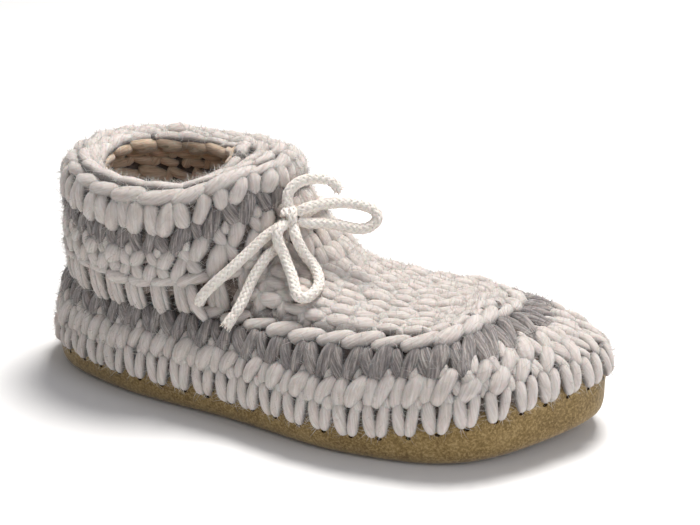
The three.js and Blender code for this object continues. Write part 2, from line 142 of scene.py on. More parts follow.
# Drawstring and bow
KNOT = (2.3, -20, 84.5)
CORDS = {
    "drawstring_outer": [
        (-2.3, -21.1, 80.3), (-6.1, -26, 77.5), (-11.6, -31.4, 71.5), (-16.9, -37.2, 65.5),
        (-22.7, -41.7, 59.6), (-26.7, -43.6, 54.9), (-29, -43.3, 51.2), (-30.2, -40.6, 49.8),
    ],
    "drawstring_inner": [
        (4.4, -14.6, 84), (5.6, -10.2, 84.4), (6.5, -4.8, 84.8), (6.5, 3, 84.2), (4.7, 10.1, 82.5),
        (0.9, 16.4, 79.5), (-1.9, 23.2, 76), (-6.6, 29.4, 71.4), (-11.6, 33.4, 66.8),
        (-16.8, 36.8, 62.4), (-22.3, 39.6, 58.8), (-27, 40.5, 56), (-30, 37.4, 54.4),
    ],
    "bow_loop_outer": [
        (6.9, -18.3, 88.2), (10.5, -15.5, 89.2), (14.6, -12.4, 89.6), (21.3, -8.9, 89.8),
        (28, -6.4, 88.8), (32.6, -5.4, 87), (34.3, -5.8, 84.2), (32.6, -7.6, 81.1), (29, -9.6, 79.8),
        (24.3, -11.4, 80.4), (19.4, -13.4, 81.6), (14, -16.4, 82.5), (8.3, -19.5, 83),
    ],
    "bow_loop_down": [
        (5.1, -23.4, 80.5), (6.8, -25.2, 78), (8.6, -25, 74.2), (10.4, -24, 70.4), (13, -23.6, 67.4),
        (16.6, -26.4, 64.4), (19, -30.6, 61.8), (18.9, -35, 60.2), (16.8, -38.9, 58.8),
        (13.9, -39.8, 59.4), (11.4, -37.2, 61.7), (8.8, -33.8, 64.5), (5.6, -31, 68),
        (2.6, -28.8, 72.4), (0.4, -29.2, 77.2), (-0.2, -27.8, 81), (0.5, -25.2, 82.3),
    ],
    "bow_end_up": [
        (0.2, -18.9, 90.2), (0, -17.4, 94), (2.4, -14.6, 97.4), (7.8, -11.3, 99.2), (12.6, -9, 98.8),
        (16, -7.6, 97), (17.6, -7, 94.6),
    ],
    "bow_end_down": [
        (-2.4, -25.4, 72), (-4.6, -28, 70), (-6.5, -30.8, 66.5), (-8.5, -33.8, 62.1),
        (-9.9, -37.4, 56.9), (-10.8, -41.3, 52.6), (-12.4, -44.8, 48.8), (-14.4, -47.4, 45),
    ],
}

# The part's frame has its origin under the middle of the shoe
knot_low, knot_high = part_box("bow_knot")
SHIFT = np.array((knot_low + knot_high) / 2) / MM - np.array(KNOT)


def to_frame(points):
    return (np.asarray(points, float) + SHIFT) * MM


def mix(a, b, part):
    return a + (b - a) * part


def ease(part):
    part = np.clip(part, 0, 1)
    return part * part * (3 - 2 * part)


def unit(vectors):
    return vectors / np.maximum(np.linalg.norm(vectors, axis=-1, keepdims=True), 1e-9)


def smooth_curve(points, closed, steps):
    """Centripetal curve through the points, with a number of steps for each span."""
    p = np.asarray(points, float)
    if closed:
        p = np.vstack([p[-1], p, p[0], p[1]])
    else:
        p = np.vstack([2 * p[0] - p[1], p, 2 * p[-1] - p[-2]])
    result = []
    for a, b, c, d in zip(p[:-3], p[1:-2], p[2:-1], p[3:]):
        before = math.sqrt(np.linalg.norm(b - a))
        here = math.sqrt(np.linalg.norm(c - b))
        after = math.sqrt(np.linalg.norm(d - c))
        leave = ((b - a) / before - (c - a) / (before + here) + (c - b) / here) * here
        reach = ((c - b) / here - (d - b) / (here + after) + (d - c) / after) * here
        t = (np.arange(steps) / steps)[:, None]
        result.append(b + leave * t + (3 * (c - b) - 2 * leave - reach) * t**2
                      + (2 * (b - c) + leave + reach) * t**3)
    result.append(p[-2][None])
    return np.vstack(result)


def lengths_along(points):
    """Distance of each point from the first, along the polyline."""
    return np.concatenate([[0], np.cumsum(np.linalg.norm(np.diff(points, axis=0), axis=1))])


def even(points, steps):
    """Points spaced evenly along a polyline, both ends included."""
    length = lengths_along(points)
    want = np.linspace(0, length[-1], steps + 1)
    return np.stack([np.interp(want, length, points[:, k]) for k in range(points.shape[1])], axis=1)


def outline_points():
    fine = smooth_curve(OUTLINE, True, SPAN_STEPS)
    toe = TOE_POINT * SPAN_STEPS
    outer = even(fine[: toe + 1], OUTLINE_STEPS)
    inner = even(fine[toe:], OUTLINE_STEPS)
    return np.vstack([outer[:-1], inner])


OUTLINE_XY = outline_points()


def outline_at(s):
    """Point of the outline, s from 0 at the heel by way of the outer side to 1 at the heel again."""
    at = np.mod(s, 1) * (len(OUTLINE_XY) - 1)
    index = np.arange(len(OUTLINE_XY))
    return np.interp(at, index, OUTLINE_XY[:, 0]), np.interp(at, index, OUTLINE_XY[:, 1])


def ridge_at(x):
    ridge_x = np.clip(x, RIDGE_BACK, RIDGE_TOE)
    turn = np.clip((ridge_x - RIDGE_TURN) / (RIDGE_TOE - RIDGE_TURN), 0, 1)
    rise = np.clip((VAMP_RISE_START - ridge_x) / VAMP_RISE_START, 0, 1)
    return ridge_x, mix(RIDGE_Y, RIDGE_TOE_Y, turn), VAMP_LOW + VAMP_RISE * rise**VAMP_RISE_POWER


def outward(x, y):
    ridge_x, ridge_y, _ = ridge_at(x)
    length = np.hypot(x - ridge_x, y - ridge_y)
    return (x - ridge_x) / length, (y - ridge_y) / length


def heel_part(x):
    return np.clip((HEEL_BLEND_END - x) / (HEEL_BLEND_END - HEEL_END), 0, 1)


def line_height(x, y, line):
    toe = ease((x - line["rise"]) / (TOE_END - line["rise"]))
    side = line["mid"] + (line["heel"] - line["mid"]) * heel_part(x)
    return side + (line["toe"] - line["mid"] - line["lean"] * y) * toe


def line_offset(x, y, line):
    toe = ease((x - line["turn"]) / (TURN_END - line["turn"]))
    ridge_x, ridge_y, _ = ridge_at(x)
    reach = np.hypot(x - ridge_x, y - ridge_y)
    tip = (1 - line["tip"]) * mix(reach, TOE_REACH, np.clip(line["tip"] / ROUND_FROM, 0, 1)) - reach
    return line["side"] + (tip - line["side"]) * toe + (line["rear"] - line["side"]) * heel_part(x)


def spring(x):
    toe = np.clip((x - TOE_SPRING_START) / (TOE_END - TOE_SPRING_START), 0, 1)
    heel = np.clip((HEEL_LIFT_START - x) / (HEEL_LIFT_START - HEEL_END), 0, 1)
    return TOE_SPRING * toe**2 + HEEL_LIFT * heel**2


def offset_points(s, offset, z):
    """Points beside the outline at s, moved outwards, at heights z."""
    x, y = outline_at(s)
    out_x, out_y = outward(x, y)
    return np.stack([x + out_x * offset, y + out_y * offset, np.broadcast_to(z, x.shape)], axis=-1)


# Each patch is a function of s along a row and v across it

def body_patch(low, high):
    def base(s, v):
        x, y = outline_at(s)
        offset = mix(line_offset(x, y, LINES[low]), line_offset(x, y, LINES[high]), v)
        z = mix(line_height(x, y, LINES[low]), line_height(x, y, LINES[high]), v)
        return offset_points(s, offset, z)

    return base


def vamp_patch(first, last):
    def base(s, v):
        part = np.clip(mix(first, last, v), 0, VAMP_LAST)
        x, y = outline_at(s)
        start = offset_points(s, line_offset(x, y, LINES["braid"]), line_height(x, y, LINES["braid"]))
        ridge = np.stack(np.broadcast_arrays(*ridge_at(x)), axis=-1)
        arch = (1 - (1 - part) ** VAMP_ARCH_POWER) ** (1 / VAMP_ARCH_POWER)
        flat = mix(start, ridge, part[..., None])
        flat[..., 2] = mix(start[..., 2], ridge[..., 2], arch)
        return flat

    return base


def ridge_patch(s, v):
    """Strip along the ridge of the vamp, from the throat at s 0 to the toe at s 1."""
    x, y, z = ridge_at(mix(RIDGE_THROAT, RIDGE_TOE, s))
    return np.stack(np.broadcast_arrays(x, y + (v - 0.5) * RIDGE_WIDTH, z), axis=-1)


def ankle_point(line, angle, inset):
    index = np.arange(len(ANKLE["back"]))
    at = {key: np.interp(line, index, values) for key, values in ANKLE.items()}
    depth = inset * at["wall"]
    back = at["back"] + depth
    front = at["front"] - depth
    half = at["half"] - depth
    power = 2 / ANKLE_SQUARENESS
    along = -np.sign(np.cos(angle)) * np.abs(np.cos(angle)) ** power
    side = np.sign(np.sin(angle)) * np.abs(np.sin(angle)) ** power
    taper = 1 - at["taper"] * np.maximum(along, 0) ** 2
    x = (back + front) / 2 + (front - back) / 2 * along
    y = ANKLE_CENTRE_Y - half * side * taper
    to_back = np.clip((ANKLE_LOW_X - x) / (ANKLE_LOW_X - back), 0, 1)
    to_front = np.clip((x - ANKLE_LOW_X) / (front - ANKLE_LOW_X), 0, 1)
    early = ease((x - ANKLE_EARLY_X[0]) / (ANKLE_EARLY_X[1] - ANKLE_EARLY_X[0]))
    swayed = mix(to_front**ANKLE_LATE_POWER, early, ease(side + 0.5))
    rise = mix(to_front**ANKLE_RISE_POWER, swayed, at["sway"])
    z = at["z_side"] + (at["z_back"] - at["z_side"]) * to_back**2
    z = z + (at["z_front"] - at["z_side"]) * rise - ANKLE_TILT * side - inset * at["drop"]
    return np.stack([x, y, z], axis=-1)


def ankle_patch(first, last, inset=0, last_inset=None):
    """Rows of the ankle between two of its lines; inset 1 is the inner face of the wall.

    s keeps its distance from the heel across the row, so that stitches stand upright at the sides,
    and takes up the difference in girth at the front.
    """
    half_turn = np.linspace(0, np.pi, ANKLE_SAMPLES + 1)
    across = ANKLE_ACROSS
    last_inset = inset if last_inset is None else last_inset

    def ring_lengths(v):
        line = np.full(half_turn.shape, mix(first, last, v))
        return lengths_along(ankle_point(line, half_turn, mix(inset, last_inset, v)))

    tables = [ring_lengths(v) for v in across]
    middle = ring_lengths(0.5)[-1]
    steps = np.linspace(0, 0.5, ANKLE_SAMPLES + 1)
    to_front = np.clip((steps - QUARTER) / QUARTER, 0, 1) ** 2
    angles = np.stack([
        np.interp(mix(steps * 2 * middle, table[-1], to_front), table, half_turn) for table in tables
    ])

    def base(s, v):
        turns = np.floor(s)
        part = s - turns
        near = np.minimum(part, 1 - part) / 0.5 * ANKLE_SAMPLES
        low = np.clip(near.astype(int), 0, ANKLE_SAMPLES - 1)
        row = np.clip((v - across[0]) / (across[-1] - across[0]), 0, 1) * (len(across) - 1)
        under = np.clip(row.astype(int), 0, len(across) - 2)
        a = mix(angles[under, low], angles[under, low + 1], near - low)
        b = mix(angles[under + 1, low], angles[under + 1, low + 1], near - low)
        angle = mix(a, b, row - under)
        full = np.where(part < 0.5, angle, 2 * np.pi - angle)
        return ankle_point(mix(first, last, v), full, mix(inset, last_inset, v))

    base.length = 2 * middle
    return base


def middle_of(patch, s):
    return patch(s, np.full(np.shape(s), 0.5))


def even_patch(base):
    """The same patch, with s even along its middle."""
    steps = np.linspace(0, 1, 2 * OUTLINE_STEPS + 1)
    length = lengths_along(middle_of(base, steps))

    def moved(s, v):
        turns = np.floor(s)
        return base(np.interp((s - turns) * length[-1], length, steps) + turns, v)

    moved.length = length[-1]
    return moved


def raised(base, s, v, lift, side=1):
    """Points above a patch, and the direction that the patch faces there."""
    step_s = 1e-3
    step_v = 2e-2
    along = base(s + step_s, v) - base(s - step_s, v)
    across = base(s, v + step_v) - base(s, v - step_v)
    facing = unit(np.cross(along, across)) * side
    return base(s, v) + facing * lift[..., None], facing


# Nodes

def srgb(code):
    """Linear colour of an sRGB hex code."""
    channels = [int(code[i:i + 2], 16) / 255 for i in (1, 3, 5)]
    linear = [c / 12.92 if c <= 0.04045 else ((c + 0.055) / 1.055) ** 2.4 for c in channels]
    return (*linear, 1.0)


def add(tree, kind, inputs=None, **settings):
    """Adds a node with its options, and sets or links its inputs by name or number."""
    new = tree.nodes.new(kind)
    for key, value in settings.items():
        setattr(new, key, value)
    for key, value in (inputs or {}).items():
        if isinstance(value, bpy.types.NodeSocket):
            tree.links.new(value, new.inputs[key])
        else:
            new.inputs[key].default_value = value
    return new


def new_material(name, **surface):
    """A material with one Principled surface; values for its sockets are given by name."""
    material = bpy.data.materials.new(name)
    material.use_nodes = True
    tree = material.node_tree
    shader = tree.nodes["Principled BSDF"]
    for key, value in surface.items():
        shader.inputs[key.replace("_", " ")].default_value = value
    return material, tree, shader


def ramp(tree, factor, stops):
    """Colour ramp with (position, hex) stops."""
    node = add(tree, "ShaderNodeValToRGB", {"Fac": factor})
    elements = node.color_ramp.elements
    while len(elements) < len(stops):
        elements.new(0.5)
    for element, (position, code) in zip(elements, stops):
        element.position = position
        element.color = srgb(code)
    return node.outputs["Color"]


def maths(tree, operation, first, second):
    return add(tree, "ShaderNodeMath", {0: first, 1: second}, operation=operation).outputs[0]


def dot(tree, first, second):
    node = add(tree, "ShaderNodeVectorMath", {0: first, 1: second}, operation="DOT_PRODUCT")
    return node.outputs["Value"]


def scaled(tree, vector, scale):
    node = add(tree, "ShaderNodeVectorMath", {0: vector, "Scale": scale}, operation="SCALE")
    return node.outputs[0]


def attribute(tree, name, output="Vector"):
    return add(tree, "ShaderNodeAttribute", attribute_name=name).outputs[output]


def object_place(tree):
    return add(tree, "ShaderNodeTexCoord").outputs["Object"]


def strand_place(tree, stretch, width, twist):
    """Place in a strand: the way along it, drawn in so that fibres come out long, and the way round it."""
    along = attribute(tree, "along", "Fac")
    turned = add(tree, "ShaderNodeVectorRotate", {
        "Vector": attribute(tree, "around"), "Angle": maths(tree, "MULTIPLY", along, twist),
    }, rotation_type="Z_AXIS")
    parts = add(tree, "ShaderNodeSeparateXYZ", {"Vector": turned.outputs[0]}).outputs
    return add(tree, "ShaderNodeCombineXYZ", {
        "X": maths(tree, "MULTIPLY", along, stretch),
        "Y": maths(tree, "MULTIPLY", parts["X"], width),
        "Z": maths(tree, "MULTIPLY", parts["Y"], width),
    }).outputs[0]


def noise(tree, place, size, detail=2.0, roughness=0.5):
    """Noise with clumps of a size, in the units of the place."""
    return add(tree, "ShaderNodeTexNoise", {
        "Vector": place, "Scale": 1 / size, "Detail": detail, "Roughness": roughness,
    }).outputs["Fac"]


def blend(tree, factor, first, second):
    return add(tree, "ShaderNodeMix", {"Factor": factor, 6: first, 7: second}, data_type="RGBA").outputs[2]


def dress(tree, shader, colour, height=None, strength=0.0, depth=0.0):
    """Gives a surface its colour, and a bump with a depth in mm."""
    tree.links.new(colour, shader.inputs["Base Color"])
    if height is not None:
        bump = add(tree, "ShaderNodeBump", {"Height": height, "Strength": strength, "Distance": depth * MM})
        tree.links.new(bump.outputs[0], shader.inputs["Normal"])


# Wool roving, spun loosely and barely twisted: soft fibres lie along the strand and hide any gloss
FIBRE_MM = 0.55
FIBRE_LENGTH_MM = 6
TUFT_MM = 1.71875
STRAND_MM = 2.5
TWIST_PER_MM = 0.11
# Painted shade: the yarn's colour is darkened from a strand's crest down to its flanks, where the surface
# turns away from the way the strand faces, standing in for the shade of the next stitches
FLANK = 0.0
CREST = 0.97


def yarn_material(name, stops, fleck_stops, fleck_share, painted_shade_flank_share=1.0):
    material, tree, shader = new_material(
        name, Roughness=1.0, Subsurface_Weight=0.2, Subsurface_Scale=0.0014,
        Sheen_Weight=0.35, Sheen_Roughness=0.6, Specular_IOR_Level=0.2,
    )
    place = strand_place(tree, FIBRE_MM / FIBRE_LENGTH_MM, STRAND_MM, TWIST_PER_MM)
    fibres = noise(tree, place, size=FIBRE_MM, detail=3.0, roughness=0.6)
    share = add(tree, "ShaderNodeMapRange", {
        "Value": noise(tree, place, size=TUFT_MM), "From Min": 0.42, "From Max": 0.62, "To Max": fleck_share,
    })
    colour = blend(tree, share.outputs[0], ramp(tree, fibres, stops), ramp(tree, fibres, fleck_stops))
    # Painted shade: the colour is scaled down towards the flanks of the strand
    normal = add(tree, "ShaderNodeNewGeometry").outputs["Normal"]
    light = add(tree, "ShaderNodeMapRange", {
        "Value": dot(tree, normal, attribute(tree, "facing")),
        "From Min": FLANK, "From Max": CREST, "To Min": painted_shade_flank_share,
    }, interpolation_type="SMOOTHSTEP")
    dress(tree, shader, scaled(tree, colour, light.outputs[0]), fibres, strength=0.4, depth=0.35)
    return material


# Share of the colour that the painted shade leaves at a strand's flank; the vamp and the inside get less of
# it
PAINTED_SHADE_FLANK_SHARE = 0.3
VAMP_PAINTED_SHADE_FLANK_SHARE = 0.45
LINING_PAINTED_SHADE_FLANK_SHARE = 0.6
# Colours of each yarn: of its body, of its flecks, and how far the flecks show
CREAM = (
    [(0.3, "#c2b9b2"), (0.5, "#d2cac4"), (0.72, "#dfd9d4")],
    [(0.3, "#bbb1a9"), (0.55, "#ccc3bc"), (0.72, "#d9d2cd")], 0.7,
)
GREY = (
    [(0.34, "#5c5654"), (0.5, "#7e7877"), (0.66, "#a49d9a")],
    [(0.34, "#716b68"), (0.5, "#958e88"), (0.64, "#bdb5af")], 0.8,
)
# Painted warm shade: the inside of the wall is the same cream wool, coloured tan-brown for the shade there
# and for the warm light thrown back inside the shoe
INSIDE_CREAM_PAINTED_WARM_SHADE = (
    [(0.3, "#b8a088"), (0.5, "#d8c1a8"), (0.72, "#e9d7c2")],
    [(0.3, "#a68b70"), (0.55, "#c5ab8f"), (0.72, "#dac3a9")], 0.7,
)
cream_wool = yarn_material("cream_wool_roving", *CREAM, PAINTED_SHADE_FLANK_SHARE)
vamp_wool = yarn_material("cream_wool_roving_softer_painted_shade", *CREAM, VAMP_PAINTED_SHADE_FLANK_SHARE)
cream_fibres = yarn_material("cream_wool_fibres", *CREAM)
grey_wool = yarn_material("grey_marled_wool_roving", *GREY, PAINTED_SHADE_FLANK_SHARE)
grey_fibres = yarn_material("grey_marled_wool_fibres", *GREY)
inside_wool_painted_shade = yarn_material("inside_cream_wool_painted_warm_shade", *INSIDE_CREAM_PAINTED_WARM_SHADE, LINING_PAINTED_SHADE_FLANK_SHARE)


def plain_material(name, stops, size, detail=2.0, strength=0.0, depth=0.0, **surface):
    """A material of one noise: its colours, and a bump where that has a strength."""
    material, tree, shader = new_material(name, **surface)
    clumps = noise(tree, object_place(tree), size, detail)
    dress(tree, shader, ramp(tree, clumps, stops), clumps if strength else None, strength, depth)
    return material


# Split suede, buffed to a short nap: blotches where the nap lies another way, and a fine matt grit
def suede_material():
    material, tree, shader = new_material(
        "buffed_split_suede", Roughness=0.95, Specular_IOR_Level=0.15, Sheen_Weight=0.3, Sheen_Roughness=0.5,
    )
    place = object_place(tree)
    grit = noise(tree, place, size=1.1 * MM, detail=3.0, roughness=0.75)
    blotch = noise(tree, place, size=9 * MM, detail=4.0, roughness=0.6)
    fine = ramp(tree, grit, [(0.36, "#4a3a1f"), (0.5, "#866f45"), (0.63, "#c0a877")])
    broad = ramp(tree, blotch, [(0.32, "#735e3b"), (0.52, "#8b7449"), (0.7, "#a18a5e")])
    dress(tree, shader, blend(tree, 0.5, fine, broad), grit, strength=0.5, depth=0.3)
    return material


# Vegetable-tanned insole leather, rolled smooth: low satin grain with faint pores
def leather_material():
    material, tree, shader = new_material("tanned_insole_leather", Roughness=0.6, Specular_IOR_Level=0.35)
    place = object_place(tree)
    grain = add(tree, "ShaderNodeTexVoronoi", {"Vector": place, "Scale": 1 / (1.4 * MM)}).outputs["Distance"]
    tone = noise(tree, place, size=18 * MM, detail=3.0)
    colour = ramp(tree, tone, [(0.3, "#b08d70"), (0.5, "#c5a286"), (0.7, "#d2b298")])
    dress(tree, shader, colour, grain, strength=0.25, depth=0.15)
    return material


# Undyed cotton, braided in fine flat plaits: matt, with a thread line along each plait
def cotton_material():
    material, tree, shader = new_material(
        "braided_cotton", Roughness=0.95, Specular_IOR_Level=0.2, Sheen_Weight=0.2, Subsurface_Weight=0.1,
        Subsurface_Scale=0.001,
    )
    threads = noise(tree, strand_place(tree, stretch=0.15, width=1.0, twist=0.0), size=1 / 3)
    colour = ramp(tree, threads, [(0.3, "#e0d5ca"), (0.5, "#efe6dd"), (0.7, "#f7f0ea")])
    dress(tree, shader, colour, threads, strength=0.4, depth=0.12)
    return material


suede = suede_material()
insole_leather = leather_material()
cotton = cotton_material()
# Painted shade: a dark wool colour on the shell behind the stitches, standing in for the shade deep in the
# gaps between them
gap_shade_wool = plain_material(
    "wool_backing_painted_gap_shade", [(0.3, "#544a43"), (0.55, "#786d65"), (0.75, "#9b9087")],
    size=3.0 * MM, detail=4.0, strength=0.8, depth=0.6, Roughness=1.0, Specular_IOR_Level=0.1,
)
# Punched hole: a dark colour, painted shade for the inside of the hole
punched_hole_shade = plain_material(
    "punched_hole_painted_shade", [(0.3, "#1f1710"), (0.7, "#3b2d1d")], size=0.7 * MM,
    Roughness=1.0, Specular_IOR_Level=0.0,
)


# Geometry Nodes

def new_tree(name, sizes):
    """Geometry node tree with a geometry in and out and named inputs."""
    tree = bpy.data.node_groups.new(name, "GeometryNodeTree")
    tree.interface.new_socket("Geometry", in_out="INPUT", socket_type="NodeSocketGeometry")
    for label, kind in sizes.items():
        tree.interface.new_socket(label, in_out="INPUT", socket_type=kind)
    tree.interface.new_socket("Geometry", in_out="OUTPUT", socket_type="NodeSocketGeometry")
    return tree, add(tree, "NodeGroupInput").outputs


def finish_tree(tree, geometry, material):
    real = add(tree, "GeometryNodeRealizeInstances", {"Geometry": geometry})
    smooth = add(tree, "GeometryNodeSetShadeSmooth", {"Geometry": real.outputs[0]})
    painted = add(tree, "GeometryNodeSetMaterial", {"Geometry": smooth.outputs[0], "Material": material})
    add(tree, "NodeGroupOutput", {"Geometry": painted.outputs[0]})
    return tree


def named(tree, name, kind="FLOAT_VECTOR"):
    """Values of an attribute of the points."""
    return add(tree, "GeometryNodeInputNamedAttribute", {"Name": name}, data_type=kind).outputs["Attribute"]


def store(tree, geometry, name, value):
    return add(tree, "GeometryNodeStoreNamedAttribute", {
        "Geometry": geometry, "Name": name, "Value": value,
    }, data_type="FLOAT_VECTOR", domain="POINT").outputs[0]


def strand_tree():
    """Tubes along lines of points: radius, how flat each is, and the way its flat side faces."""
    tree, given = new_tree("strands", {"Sides": "NodeSocketInt", "Material": "NodeSocketMaterial"})
    position = add(tree, "GeometryNodeInputPosition").outputs[0]
    lines = add(tree, "GeometryNodeMeshToCurve", {"Mesh": given["Geometry"]}).outputs[0]
    circle = add(tree, "GeometryNodeCurvePrimitiveCircle", {"Resolution": given["Sides"], "Radius": 1.0})
    tubes = add(tree, "GeometryNodeCurveToMesh", {
        "Curve": store(tree, lines, "centre", position),
        "Profile Curve": store(tree, circle.outputs["Curve"], "around", position),
        "Scale": named(tree, "radius", "FLOAT"), "Fill Caps": True,
    })
    facing = named(tree, "facing")
    arm = add(tree, "ShaderNodeVectorMath", {0: position, 1: named(tree, "centre")}, operation="SUBTRACT")
    press = maths(tree, "SUBTRACT", named(tree, "flat", "FLOAT"), 1.0)
    move = maths(tree, "MULTIPLY", dot(tree, arm.outputs[0], facing), press)
    pressed = add(tree, "GeometryNodeSetPosition", {
        "Geometry": tubes.outputs[0], "Offset": scaled(tree, facing, move),
    })
    return finish_tree(tree, pressed.outputs[0], given["Material"])


# Fibres: how far outwards the yarn has to face, the bend of a fibre, its width at the root, turns, sizes
FUZZ_FACING = 0.1
FUZZ_BEND = {"Start": (0, 0, 0), "Middle": (0.3, 0, 0.5), "End": (1, 0.15, 0.6)}
FUZZ_ROOT_WIDTH = 1.1
FUZZ_TURNS = {0: (-0.5, -0.5, 0), 1: (0.5, 0.5, 2 * math.pi)}
FUZZ_SIZES = {2: 0.4, 3: 1.2}


def fuzz_tree():
    """Short bent fibres that stand off the side of the yarn that shows."""
    tree, given = new_tree("fuzz", {
        "Density": "NodeSocketFloat", "Length": "NodeSocketFloat", "Thickness": "NodeSocketFloat",
        "Seed": "NodeSocketInt", "Material": "NodeSocketMaterial",
    })
    seed = {"Seed": given["Seed"]}
    shown = dot(tree, add(tree, "GeometryNodeInputNormal").outputs[0], named(tree, "facing"))
    outside = add(tree, "FunctionNodeCompare", {0: shown, 1: FUZZ_FACING}, operation="GREATER_THAN")
    spread = add(tree, "GeometryNodeDistributePointsOnFaces", {
        "Mesh": given["Geometry"], "Selection": outside.outputs[0], "Density": given["Density"], **seed,
    })
    bend = add(tree, "GeometryNodeCurveQuadraticBezier", {"Resolution": 2, **FUZZ_BEND})
    factor = add(tree, "GeometryNodeSplineParameter").outputs["Factor"]
    taper = maths(tree, "SUBTRACT", FUZZ_ROOT_WIDTH, factor)
    thin = maths(tree, "DIVIDE", given["Thickness"], given["Length"])
    section = add(tree, "GeometryNodeCurvePrimitiveLine", {"Start": (-0.5, 0, 0), "End": (0.5, 0, 0)})
    fibre = add(tree, "GeometryNodeCurveToMesh", {
        "Curve": bend.outputs[0], "Profile Curve": section.outputs["Curve"],
        "Scale": maths(tree, "MULTIPLY", taper, thin),
    })
    turn = add(tree, "FunctionNodeRandomValue", {**FUZZ_TURNS, **seed}, data_type="FLOAT_VECTOR")
    rotation = add(tree, "FunctionNodeRotateRotation", {
        "Rotation": spread.outputs["Rotation"], "Rotate By": turn.outputs["Value"],
    }, rotation_space="LOCAL")
    size = add(tree, "FunctionNodeRandomValue", {**FUZZ_SIZES, **seed}, data_type="FLOAT")
    fibres = add(tree, "GeometryNodeInstanceOnPoints", {
        "Points": spread.outputs["Points"], "Instance": fibre.outputs[0], "Rotation": rotation.outputs[0],
        "Scale": maths(tree, "MULTIPLY", size.outputs[1], given["Length"]),
    })
    return finish_tree(tree, fibres.outputs[0], given["Material"])


STRANDS = strand_tree()
FUZZ = fuzz_tree()


def new_object(name, mesh):
    piece = bpy.data.objects.new(name, mesh)
    bpy.context.scene.collection.objects.link(piece)
    return piece


def new_mesh(name, points, edges, faces, **layers):
    """Mesh from points in mm, with named values at its points."""
    mesh = bpy.data.meshes.new(name)
    mesh.from_pydata(to_frame(points), edges, faces)
    for key, values in layers.items():
        kind, field = ("FLOAT_VECTOR", "vector") if values.ndim == 2 else ("FLOAT", "value")
        layer = mesh.attributes.new(key, kind, "POINT")
        layer.data.foreach_set(field, np.ascontiguousarray(values, np.float32).ravel())
    return mesh


def apply_tree(name, source, tree, **values):
    """Runs a tree on a mesh and returns a new plain mesh object."""
    piece = new_object(name, source)
    modifier = piece.modifiers.new("made", "NODES")
    modifier.node_group = tree
    sockets = {item.name: item.identifier for item in tree.interface.items_tree if item.in_out == "INPUT"}
    for label, value in values.items():
        modifier[sockets[label]] = value
    graph = bpy.context.evaluated_depsgraph_get()
    evaluated = piece.evaluated_get(graph)
    made = bpy.data.meshes.new_from_object(evaluated, preserve_all_data_layers=True, depsgraph=graph)
    piece.modifiers.clear()
    piece.data = made
    bpy.data.meshes.remove(source)
    return piece


def attach(piece, slot, *nodes):
    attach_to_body(piece, "root")
    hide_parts(*nodes)
    return piece


# Strands

RINGS = 11
SIDES = 10
CAP_POWER = 8
TABLE_STEPS = 8
THINNEST = 0.02
FIBRE_START_MAX = 900


def line_mesh(name, strands):
    """Mesh of open lines, one for each strand, with what the strand tree reads."""
    starts = np.concatenate([[0], np.cumsum([len(line["points"]) for line in strands])])
    edges = np.vstack([np.stack([np.arange(a, b - 1), np.arange(a + 1, b)], axis=1)
                       for a, b in zip(starts[:-1], starts[1:])])
    joined = {key: np.concatenate([line[key] for line in strands]) for key in strands[0]}
    return new_mesh(name, joined.pop("points"), edges, [], **joined)


def strand(points, facing, width, height):
    """One strand of yarn: half width and half height in mm at each of its points."""
    width = np.maximum(width, THINNEST)
    return {
        "points": points,
        "facing": facing,
        "radius": width * MM,
        "flat": height / width,
        "along": lengths_along(points) + random.uniform(0, FIBRE_START_MAX),
    }


upper_object = frame["nodes"]["upper"]
UPPER = BVHTree.FromObject(upper_object, bpy.context.evaluated_depsgraph_get())
BURIED = 3.2 * MM
ASTRAY = 6.5 * MM
LEAST_FACING = 0.25


def on_upper(point, facing):
    """True where a stitch lies on the face of the upper, not inside its wall or off it."""
    place = Vector(to_frame(point))
    near, normal, _, distance = UPPER.find_nearest(place)
    depth = (place - near).dot(normal)
    return depth > -BURIED and distance < ASTRAY and Vector(facing).dot(normal) > LEAST_FACING


# The stitches press into the wall, so that their crests keep the size of the shoe
SINK = 1.3
EDGE_SINK = 0

# How much stitches differ, and what that is worth along the row, across it and in height
VARY = 0.1
EDGE_VARY = 0.07
LINING_VARY = 0.13
LEAN_SHARE = 0.35
ACROSS_SHARE = 0.3
LIFT_SHARE = 2
LUMP_TURNS = (2.5, 5)

# A stitch this far inside the loop of one of the ankle's lines would hang in the hollow of the shoe
COLLAR_LINE = 2
COLLAR_SHARE = 0.8


def in_collar(point):
    back, front, half = (ANKLE[key][COLLAR_LINE] for key in ("back", "front", "half"))
    along = abs(point[0] - (back + front) / 2) / ((front - back) / 2)
    across = abs(point[1] - ANKLE_CENTRE_Y) / half
    return along**ANKLE_SQUARENESS + across**ANKLE_SQUARENESS < COLLAR_SHARE


